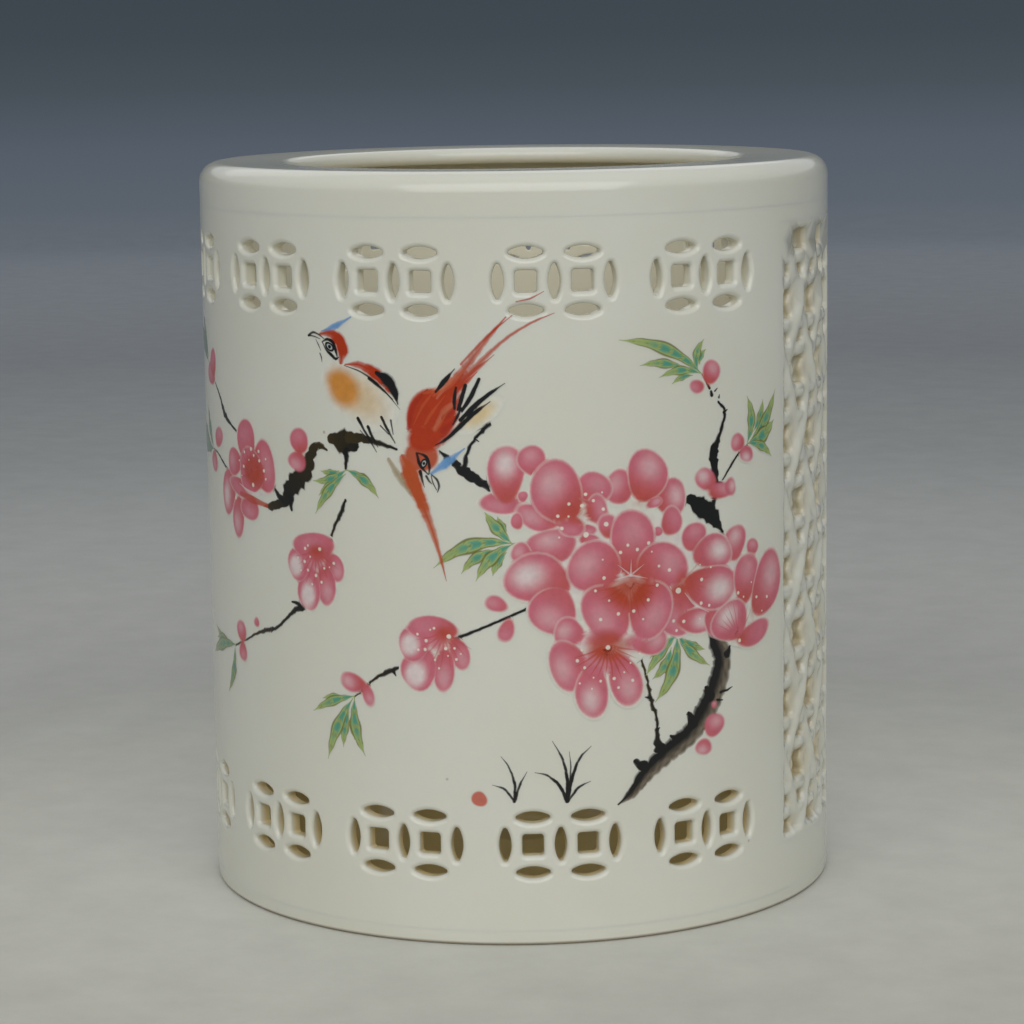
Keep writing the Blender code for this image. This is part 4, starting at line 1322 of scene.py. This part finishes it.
def paint_diving_bird(p):
    """A red bird that dives head down, its long tail streaming up and right."""
    name = "diving_bird"
    brush(p, name, [
        ([(-13, 99), (-8.4, 104.8), (-4.4, 109.8), (-1.7, 112.9)], [1.3, 0.85, 0.5, 0.2]),
        ([(0.2, 115.6), (2.6, 116.1), (5, 117.3)], [0.16, 0.22, 0.1]),
        ([(-12, 99.6), (-7.4, 104), (-2.2, 108.8), (2.6, 111.8), (6.8, 113.5)],
         [1.2, 0.7, 0.4, 0.3, 0.1]),
        ([(-11.2, 99.8), (-7.6, 103.2), (-3.8, 106.4)], [1.1, 0.55, 0.1]),
        ([(-10.8, 99.6), (-8.6, 101.6), (-6.8, 103.4)], [0.9, 0.4, 0.1]),
        ([(-9.6, 104.8), (-5, 109.6), (-0.6, 113.2)], [0.3, 0.3, 0.12]),
    ], FEATHER_RED, soft=0.5, rough=0.18, cover=0.9)
    brush(p, name, [
        ([(-23.2, 87.6), (-21.4, 84.8), (-18.8, 81.4), (-16.8, 78.4)], [0.5, 0.85, 0.6, 0.1]),
    ], OLIVE, soft=0.6, cover=0.8)
    red = (FEATHER_RED, FEATHER_PALE, FEATHER_RED, FEATHER_RED)
    buff = enamel(184, 160, 108)
    wing = (buff, buff, enamel(186, 174, 144), buff)
    p.add(name, wash(-6.4, 95.8, 5.4, 2, wing, 1.7, 0.3, cover=0.75, tilt=36),
          wash(-15.2, 95.6, 4.9, 5.2, red, 0.6, tilt=-18),
          wash(-12.4, 97.6, 3.6, 3, red, 1.6, cover=0.9, tilt=48))
    brush(p, name, [
        ([(-14.6, 93.4), (-12.4, 96.6), (-10.6, 98.4)], [0.4, 0.9, 0.3]),
        ([(-14, 98.8), (-12.2, 101.2), (-10.4, 103)], [0.3, 0.6, 0.2]),
    ], FEATHER_PALE, soft=0.8, cover=0.7)
    brush(p, name, [
        ([(-13.6, 91), (-11.4, 92.6), (-9.8, 94.8)], [0.9, 0.6, 0.12]),
        ([(-12.8, 93.2), (-10.8, 95), (-9.6, 97)], [0.9, 0.6, 0.12]),
        ([(-12.6, 95.4), (-10.8, 97.2), (-10, 99.4)], [0.8, 0.5, 0.12]),
        ([(-19.4, 93.4), (-18.4, 97.2), (-15.8, 100.2)], [0.5, 0.6, 0.2]),
    ], enamel(140, 52, 34), soft=0.5, cover=0.8)
    brush(p, name, [
        ([(-18.4, 94), (-16.6, 97.4), (-13.6, 101)], [0.1, 0.35, 0.1]),
        ([(-17.2, 92.4), (-15.4, 95.6), (-12.6, 99.2)], [0.1, 0.4, 0.1]),
        ([(-15.6, 91.6), (-13.6, 94), (-11.6, 97.6)], [0.1, 0.3, 0.1]),
        ([(-16.4, 99.6), (-13.8, 100.4), (-11.4, 102.4)], [0.3, 0.7, 0.2]),
        ([(-14.6, 99.2), (-11.6, 101), (-8, 105)], [0.3, 0.5, 0.1]),
    ], enamel(170, 84, 56), soft=0.6, cover=0.55)
    p.add(name, wash(-17, 88.6, 3.4, 3.2, enamel(156, 70, 46), 0.7, cover=0.95),
          wash(-16.6, 91.4, 3.6, 2.6, red, 0.9))
    brush(p, name, [
        ([(-20.4, 87.8), (-19.1, 85), (-17.4, 80.8), (-15.4, 75.6), (-13.9, 70.6), (-12.9, 66.4)],
         [1, 1.9, 1.4, 0.85, 0.42, 0.1]),
    ], enamel(158, 76, 50), soft=0.6, rough=0.12)
    brush(p, name, [([(-15.2, 85.5), (-12.6, 87.3), (-9.3, 89.9)], [0.4, 1, 0.2])],
          CREST_BLUE, soft=0.45)
    brush(p, name, [
        ([(-14.2, 99.9), (-12.7, 101.7), (-10.8, 103.9)], [0.3, 0.6, 0.15]),
        ([(-14.4, 90.5), (-12.4, 91.6), (-10, 93.8), (-7.4, 96.2), (-4.6, 98.2)],
         [0.14, 0.36, 0.55, 0.5, 0.12]),
        ([(-9.9, 95), (-7.4, 97.4), (-4.8, 99.5), (-2, 101.4)], [0.4, 0.6, 0.45, 0.1]),
        ([(-9.6, 96.6), (-8, 99), (-6.5, 102.1)], [0.4, 0.55, 0.4]),
        ([(-10.2, 96.8), (-9.6, 98.8), (-8.9, 101)], [0.4, 0.5, 0.42]),
        ([(-10.9, 97), (-10.9, 98.6), (-10.6, 100.6)], [0.3, 0.42, 0.3]),
        ([(-11.2, 94.2), (-10.4, 95.6), (-9.8, 97)], [0.2, 0.34, 0.3]),
        ([(-17.9, 88.9), (-17.3, 86.9), (-15.9, 85.3)], [0.3, 0.4, 0.2]),
        ([(-17.6, 89), (-16.2, 88.4), (-15.6, 86.8), (-15.7, 85.4)], [0.2, 0.38, 0.34, 0.2]),
        ([(-17.3, 85.7), (-17, 84.4), (-16.6, 83)], [0.4, 0.3, 0.1]),
        ([(-16.2, 84.9), (-15.7, 84.1), (-15.2, 83.6)], [0.3, 0.26, 0.1]),
        ([(-15.2, 85.2), (-14.3, 84.4), (-13.9, 83.2), (-14.2, 82.2)], [0.18, 0.28, 0.28, 0.14]),
        ([(-15.3, 85), (-15, 83.8), (-14.4, 82.6)], [0.14, 0.18, 0.14]),
    ], INK)
    eye(p, name, -16.6, 87.2, 0.8, 66)


def paint_ink_mark(p):
    """Two small tufts of grass in ink and a plain red roundel."""
    brush(p, "ink_mark", [
        ([(8, 26.4), (8.2, 30), (7.4, 34), (5.6, 37.4)], [0.42, 0.4, 0.3, 0.08]),
        ([(8.2, 26.4), (9, 30.4), (10.4, 34), (12.6, 36.2)], [0.4, 0.42, 0.3, 0.08]),
        ([(8, 26.4), (6.8, 29.2), (4.6, 31.2), (2.4, 31.8)], [0.34, 0.4, 0.26, 0.08]),
        ([(8.3, 26.4), (10.2, 28.8), (12.4, 29.8)], [0.3, 0.32, 0.08]),
        ([(8.1, 26.6), (8.8, 32), (8.6, 35.4)], [0.2, 0.22, 0.06]),
        ([(-1.4, 26.6), (-1.2, 29.6), (-2.2, 32.8), (-3.6, 34.8)], [0.32, 0.34, 0.24, 0.07]),
        ([(-1.2, 26.6), (-0.4, 29.4), (1, 32)], [0.3, 0.3, 0.07]),
        ([(-1.4, 26.6), (-3, 28.8), (-5.2, 29.6)], [0.28, 0.3, 0.07]),
    ], INK, rough=0.2)
    p.add("ink_mark", wash(-7.6, 27, 1.6, 1.6, enamel(166, 80, 64), 0.4, wobble=0.06, cover=0.9))


def paint_back(p):
    """A lighter spray for the other side of the pot."""
    lines = [
        ([(-34, 30), (-27, 36), (-22, 43), (-13, 49), (-6, 57), (4, 63), (11, 72)],
         [1.6, 1.5, 1.9, 1.3, 1.2, 0.8, 0.4], 0.3),
        ([(-21, 44), (-27, 51), (-27.5, 58), (-33, 66)], [0.8, 0.6, 0.4, 0.2], 0.35),
        ([(4, 63), (14, 64.5), (22, 62), (29, 64.5)], [0.6, 0.4, 0.35, 0.2], 0.3),
        ([(-5, 58), (-9, 67), (-8, 74), (-13, 82)], [0.7, 0.5, 0.35, 0.2], 0.35),
        ([(11, 72), (14, 79), (20, 86)], [0.4, 0.3, 0.18], 0.3),
    ]
    for places, widths, rough in lines:
        p.add("back_spray", Stroke(places, widths, INK, last=OLIVE_BARK, rough=rough, spacing=0.6))
    for root, tip, width, bend in [
        ((-33, 66), (-41, 70), 1.4, 0.8), ((-33, 66), (-31, 76), 1.4, -0.8),
        ((29, 64.5), (38, 69), 1.5, 0.9), ((29, 64.5), (37, 58.5), 1.4, -0.9),
        ((20, 86), (22, 95), 1.4, 0.8), ((20, 86), (29, 89), 1.4, -0.7),
        ((-27.4, 57), (-19.5, 61.5), 1.3, 0.8), ((-13, 82), (-21, 86), 1.3, -0.8),
    ]:
        p.add("back_spray", leaf(root, tip, width, bend))
    petals(p, "back_spray", [
        (3.6, 76.6, 3.4, 4.2, (8, 72)), (16.4, 68, 3.4, 2.8, (11, 72)),
        (4.4, 66.4, 3.2, 2.8, (9, 71)), (15.4, 78, 2.8, 3.4, (11, 73)),
        (-2.8, 70.2, 2.6, 2.8, (-8, 74)), (-32.8, 47.4, 2.6, 2.2, (-28, 50)),
        (-21.4, 55.8, 2.4, 2.8, (-26, 52)),
    ], outline=0.4, soft=0.5)
    for x, z, size, turn in [
        (10, 71.5, 4.8, 20), (-8.5, 74.5, 4.2, 50), (-27, 51, 4, 5), (21, 61.5, 3.8, 70),
    ]:
        for i in range(5):
            a = math.radians(turn + 360 * i / 5)
            spot = (x + size * math.cos(a), z + size * math.sin(a))
            p.add("back_spray", Petal(*spot, size * 0.92, size * 0.78, (x, z), math.degrees(a),
                                      pale=0.7, deep=0.7, outline=0.4, egg=EGG))
        p.add("back_spray", wash(x, z, size * 0.6, size * 0.6, HEART_RED, 1.6, cover=0.7))
        rays(p, "back_spray", (x, z), fan((x, z), size * 0.9, turn, turn + 340, 15))
        dots(p, "back_spray", fan((x, z), size * 0.95, turn + 12, turn + 352, 12), 0.34)
    petals(p, "back_spray", [
        (-13.8, 84.2, 2.2, 2.6, (-13, 81)), (19, 88.6, 2, 2.4, (20, 86)),
        (30.6, 62.6, 2.2, 1.8, (29, 64)), (-34.6, 63.8, 2.1, 2, (-33, 66)),
        (-22, 39.8, 2.4, 2, (-24, 41)),
    ], soft=0.6, egg=0)


# ---------------------------------------------------------------- materials

# Inside glaze: partly thicker, warmer glaze, partly painted bounce light from the white walls
LINING_AND_BOUNCE_LIGHT = linear(233, 229, 208)
# Bare foot: unglazed body, darkened greyer as a painted contact shadow where it meets the table
BISCUIT_AND_CONTACT_SHADE = linear(156, 146, 126)
# Inside colour of the lattice: partly pooled glaze, partly painted shade darkening its pits and
# throats
POOLED_AND_PIT_SHADE = linear(206, 197, 170)
SPECK = (0.20, 0.15, 0.08)
CLOUDED = (0.975, 0.97, 0.945)
# Painted shade: how much darker the inside glaze gets low in the well
WELL_SHADE = (0.82, 0.68, 0.42)
# Painted shade: the lattice's inside colour darkens a little low down
PANEL_WELL_SHADE = (0.96, 0.92, 0.84)

# Where one glaze turns to another and where painted shade sets in, in millimetres: radii, then
# heights
LINED_WITHIN = (59.2, 58.0)
BACKED_WITHIN = (57.35, 57.08)
LINED_BELOW = (136.6, 135.2)
WELL_SHADE_BELOW = (80.0, 10.0)
# The bare band at the foot also serves as a painted contact shadow
BARE_BELOW = (0.75, 0.35)


class Look:
    """A material being made, with short ways to add nodes to it and wire them."""

    def __init__(self, name):
        self.material = bpy.data.materials.new(name)
        self.material.use_nodes = True
        self.tree = self.material.node_tree
        self.shader = self.tree.nodes["Principled BSDF"]
        self.where = self.add("TexCoord", {}, "Object")

    def fill(self, node, inputs):
        """Give inputs, by name, a value or the output of another node."""
        for name, value in inputs.items():
            if isinstance(value, bpy.types.NodeSocket):
                self.tree.links.new(value, node.inputs[name])
            else:
                node.inputs[name].default_value = value

    def add(self, kind, inputs, output, **settings):
        """A new node with its settings and inputs; gives back one of its outputs."""
        node = self.tree.nodes.new("ShaderNode" + kind)
        for name, value in settings.items():
            setattr(node, name, value)
        self.fill(node, inputs)
        return node.outputs[output]

    def noise(self, scale, detail, **more):
        """Noise over the surface, as cells to the metre."""
        given = {"Vector": self.where, "Scale": scale, "Detail": detail, **more}
        return self.add("TexNoise", given, "Fac")

    def spread(self, value, low, high, to_low=0.0, to_high=1.0):
        """A value rescaled from one range to another, and held within it."""
        return self.add("MapRange", {"Value": value, "From Min": low, "From Max": high,
                                     "To Min": to_low, "To Max": to_high}, "Result")

    def within(self, metres, zone):
        """A mask that rises from 0 to 1 across a zone in millimetres."""
        return self.spread(metres, *(edge * MM for edge in zone))

    def blend(self, share, a, b):
        """Colours between a and b."""
        a, b = (v if isinstance(v, bpy.types.NodeSocket) else (*v, 1) for v in (a, b))
        return self.add("Mix", {"Factor": share, "A": a, "B": b}, "Result", data_type="RGBA")

    def fade(self, value, stops):
        """Colours at stops along a value from 0 to 1."""
        node = self.tree.nodes.new("ShaderNodeValToRGB")
        elements = node.color_ramp.elements
        elements.remove(elements[1])
        for i, (place, colour) in enumerate(stops):
            element = elements.new(place) if i else elements[0]
            element.position = place
            element.color = (*colour, 1)
        self.fill(node, {"Fac": value})
        return node.outputs["Color"]

    def scaled(self, colour, amount):
        """A colour made brighter or darker."""
        given = {"Vector": colour, "Scale": amount}
        return self.add("VectorMath", given, "Vector", operation="SCALE")

    def bump(self, height, strength, distance):
        """Normals that follow a height."""
        given = {"Height": height, "Strength": strength, "Distance": distance}
        return self.add("Bump", given, "Normal")


def porcelain(name, inner, roughness, low_shade=WELL_SHADE, backed=False):
    """Glossy glaze over a white body, with faint clouding, rare specks and a slightly wavy surface.

    Inside the pot the colour is warmer and brighter, partly thicker glaze and partly painted bounce
    light, and darker low down as painted shade in the well. Glaze sunk below the surface, in the
    holes' throats and the lattice's recesses, takes the inside colour too, which for the lattice is
    a darker beige of partly pooled glaze and partly painted shade. The band where the foot meets
    the table is bare, darkened greyer as a painted contact shadow. A backed glaze turns to the
    lining's at the bore."""
    look = Look(name)
    clouded = [c * k for c, k in zip(GLAZE, CLOUDED)]
    tint = look.fade(look.noise(38.0, 3.0), ((0.35, clouded), (0.65, GLAZE)))
    cell = look.add("TexVoronoi", {"Vector": look.where, "Scale": 75.0}, "Distance")
    outer = look.blend(look.spread(cell, 0.012, 0.03, 0.55, 0.0), tint, SPECK)
    place = look.add("SeparateXYZ", {"Vector": look.where}, "Z").node
    height = place.outputs["Z"]
    flat = look.add("CombineXYZ", {"X": place.outputs["X"], "Y": place.outputs["Y"]}, "Vector")
    reach = look.add("VectorMath", {0: flat}, "Value", operation="LENGTH")
    masks = {0: look.within(reach, LINED_WITHIN), 1: look.within(height, LINED_BELOW)}
    inside_pot = look.add("Math", masks, "Value", operation="MULTIPLY")
    deep = look.within(height, WELL_SHADE_BELOW)

    # Painted shade: the inside colour darkens toward the bottom of the pot
    def darken_low(colour, low):
        return look.blend(deep, colour, [c * k for c, k in zip(colour, low)])

    lined = darken_low(inner, low_shade)
    if backed:
        lined = look.blend(look.within(reach, BACKED_WITHIN), lined, darken_low(LINING_AND_BOUNCE_LIGHT, WELL_SHADE))
    glazed = look.blend(inside_pot, outer, lined)
    # The bare band at the foot is darkened as a painted contact shadow
    look.fill(look.shader, {
        "Base Color": look.blend(look.within(height, BARE_BELOW), glazed, BISCUIT_AND_CONTACT_SHADE),
        "Normal": look.bump(look.noise(90.0, 2.0), 0.12, 0.0004),
        "Roughness": roughness, "IOR": 1.5, "Subsurface Weight": 0.25,
        "Subsurface Radius": (1.0, 0.8, 0.5), "Subsurface Scale": 0.0015,
    })
    return look.material


def enamel_material():
    """Overglaze enamel: its painted tints, thinly and unevenly laid, a little less glossy."""
    look = Look("painted_enamel")
    tint = look.add("VertexColor", {}, "Color", layer_name="tint")
    grain = look.noise(700.0, 3.0)
    look.fill(look.shader, {
        "Base Color": look.scaled(tint, look.spread(grain, 0.3, 0.7, 0.93, 1.05)),
        "Normal": look.bump(grain, 0.1, 0.0001), "Roughness": 0.16, "IOR": 1.5,
    })
    return look.material


# ---------------------------------------------------------------- build

# Inside colours carry painted bounce light, and painted shade low in the well
build_wall(porcelain("wall_glaze", LINING_AND_BOUNCE_LIGHT, 0.12))
# The lattice's pits and throats take a darker beige: partly pooled glaze, partly painted shade
panel_glaze = porcelain("panel_glaze", POOLED_AND_PIT_SHADE, 0.14, PANEL_WELL_SHADE, backed=True)
build_lattice("lattice_right", TURN / 4, panel_glaze, "lattice_panel_right")
build_lattice("lattice_left", 3 * TURN / 4, panel_glaze, "lattice_panel_left")
build_rim(porcelain("rim_glaze", LINING_AND_BOUNCE_LIGHT, 0.10))
build_floor(porcelain("floor_glaze", LINING_AND_BOUNCE_LIGHT, 0.18))
build_foot(porcelain("bare_foot", BISCUIT_AND_CONTACT_SHADE, 0.22))
painted_enamel = enamel_material()

front = Painting(VIEW_ARC)
for paint in (paint_branches, paint_leaves, paint_buds, paint_cluster, paint_side_blossoms,
              paint_perched_bird, paint_diving_bird, paint_ink_mark):
    paint(front)
for name in ("branches", "leaves", "buds", "blossoms", "side_blossoms", "stamens",
             "perched_bird", "diving_bird", "ink_mark"):
    front.build(name, painted_enamel)
back = Painting(TURN / 2)
paint_back(back)
back.build("back_spray", painted_enamel)

# ---------------------------------------------------------------- stage, light and camera

# The camera, in metres from the pot's axis and above the table, with its lens in millimetres
LENS = 109.45
SENSOR = 36.0
CAMERA_REACH = 0.5984
CAMERA_HEIGHT = 0.1642
PITCH = math.radians(9.02)
YAW = math.radians(0.11)
ROLL = math.radians(-0.80)


def toward(distance, across, height):
    """A place given from the pot's axis along the camera's direction and across it."""
    return Vector((
        distance * math.sin(VIEW) + across * math.cos(VIEW),
        -distance * math.cos(VIEW) + across * math.sin(VIEW),
        height,
    ))


def build_camera():
    """A long lens that looks a little down on the painted side."""
    data = bpy.data.cameras.new("camera")
    data.lens = LENS
    data.sensor_width = SENSOR
    camera = bpy.data.objects.new("camera", data)
    camera.location = toward(CAMERA_REACH, 0.0, CAMERA_HEIGHT)
    turn = Euler((math.pi / 2 - PITCH, 0.0, VIEW + YAW), "XYZ").to_matrix()
    spin = Euler((0.0, 0.0, ROLL), "XYZ").to_matrix()
    camera.rotation_euler = (turn @ spin).to_euler()
    bpy.context.scene.collection.objects.link(camera)
    bpy.context.scene.camera = camera


# Display colours of the card: across the floor by metres from the pot, brightest beside it as a
# painted pool of light thrown down by the glossy pot, and by height up the back
FLOOR_TONES_WITH_POOLED_LIGHT = ((0.0, (208, 207, 197)), (0.065, (202, 201, 190)), (0.12, (192, 190, 178)),
               (0.16, (182, 181, 171)), (0.19, (175, 174, 166)), (0.3, (175, 174, 168)),
               (0.44, (165, 166, 161)), (0.6, (148, 150, 147)), (0.96, (131, 134, 136)),
               (1.6, (149, 154, 160)), (2.2, (135, 143, 152)))
WALL_TONES = ((0.0, (135, 143, 152)), (0.064, (118, 128, 141)), (0.11, (98, 109, 117)),
              (0.15, (87, 99, 107)), (0.25, (76, 89, 98)))


def stage_material():
    """Pale matt card: a faintly mottled floor that turns to slate up the back.

    The floor is brightest round the pot, as painted light thrown down by the glossy pot.
    """
    look = Look("stage_card")
    height = look.add("SeparateXYZ", {"Vector": look.where}, "Z")
    away = look.add("VectorMath", {0: look.where}, "Value", operation="LENGTH")
    floor, wall = (
        look.fade(look.spread(value, 0.0, tones[-1][0]),
                  [(at / tones[-1][0], linear(*tone)) for at, tone in tones])
        for value, tones in ((away, FLOOR_TONES_WITH_POOLED_LIGHT), (height, WALL_TONES))
    )
    fleck = look.spread(look.noise(60.0, 6.0, Roughness=0.7), 0.3, 0.7, 0.94, 1.06)
    look.fill(look.shader, {
        "Base Color": look.blend(look.spread(height, 0.0, 0.02), look.scaled(floor, fleck), wall),
        "Roughness": 0.75,
    })
    return look.material


def build_stage():
    """A round floor that sweeps up into a low backdrop well away from the pot."""
    reach, sweep, top = 1.75, 0.35, 0.6
    profile = [(0.35, 0.0), (0.7, 0.0), (1.1, 0.0), (reach, 0.0)]
    for i in range(1, 11):
        a = math.radians(90 * i / 10)
        profile.append((reach + sweep * math.sin(a), sweep - sweep * math.cos(a)))
    profile.append((reach + sweep, top))
    turns = 72
    points = [(0.0, 0.0, 0.0)]
    for r, z in profile:
        for i in range(turns):
            a = 2 * math.pi * i / turns
            points.append((r * math.cos(a), r * math.sin(a), z))
    faces = [(0, 1 + i, 1 + (i + 1) % turns) for i in range(turns)]
    faces += bands(turns, len(profile), 1)
    mesh = bpy.data.meshes.new("stage")
    mesh.from_pydata(points, [], faces)
    mesh.materials.append(stage_material())
    mesh.shade_smooth()
    stage = bpy.data.objects.new("stage", mesh)
    bpy.context.scene.collection.objects.link(stage)


def area_light(name, place, size, power, aim):
    """A white rectangular softbox, turned toward a place."""
    data = bpy.data.lights.new(name, "AREA")
    data.shape = "RECTANGLE"
    data.size, data.size_y = size
    data.energy = power
    light = bpy.data.objects.new(name, data)
    light.location = place
    light.rotation_euler = (Vector(aim) - Vector(place)).to_track_quat("-Z", "Y").to_euler()
    bpy.context.scene.collection.objects.link(light)


def build_lights():
    """A large softbox over the camera, a small one behind the pot, and a cool dim room."""
    area_light("front_softbox", toward(1.3, 0.0, 0.82), (2.3, 1.2), 15.6, aim=(0, 0, 0.03))
    area_light("rear_softbox", toward(-1.2, -0.3, 1.15), (1.8, 1.0), 2.6, aim=(0, 0, 0.05))
    world = bpy.data.worlds.new("room")
    world.use_nodes = True
    room = world.node_tree.nodes["Background"].inputs
    room["Color"].default_value = (0.90, 0.94, 1.0, 1)
    room["Strength"].default_value = 0.50
    bpy.context.scene.world = world


build_stage()
build_lights()
build_camera()
bpy.context.scene.view_settings.view_transform = "Standard"
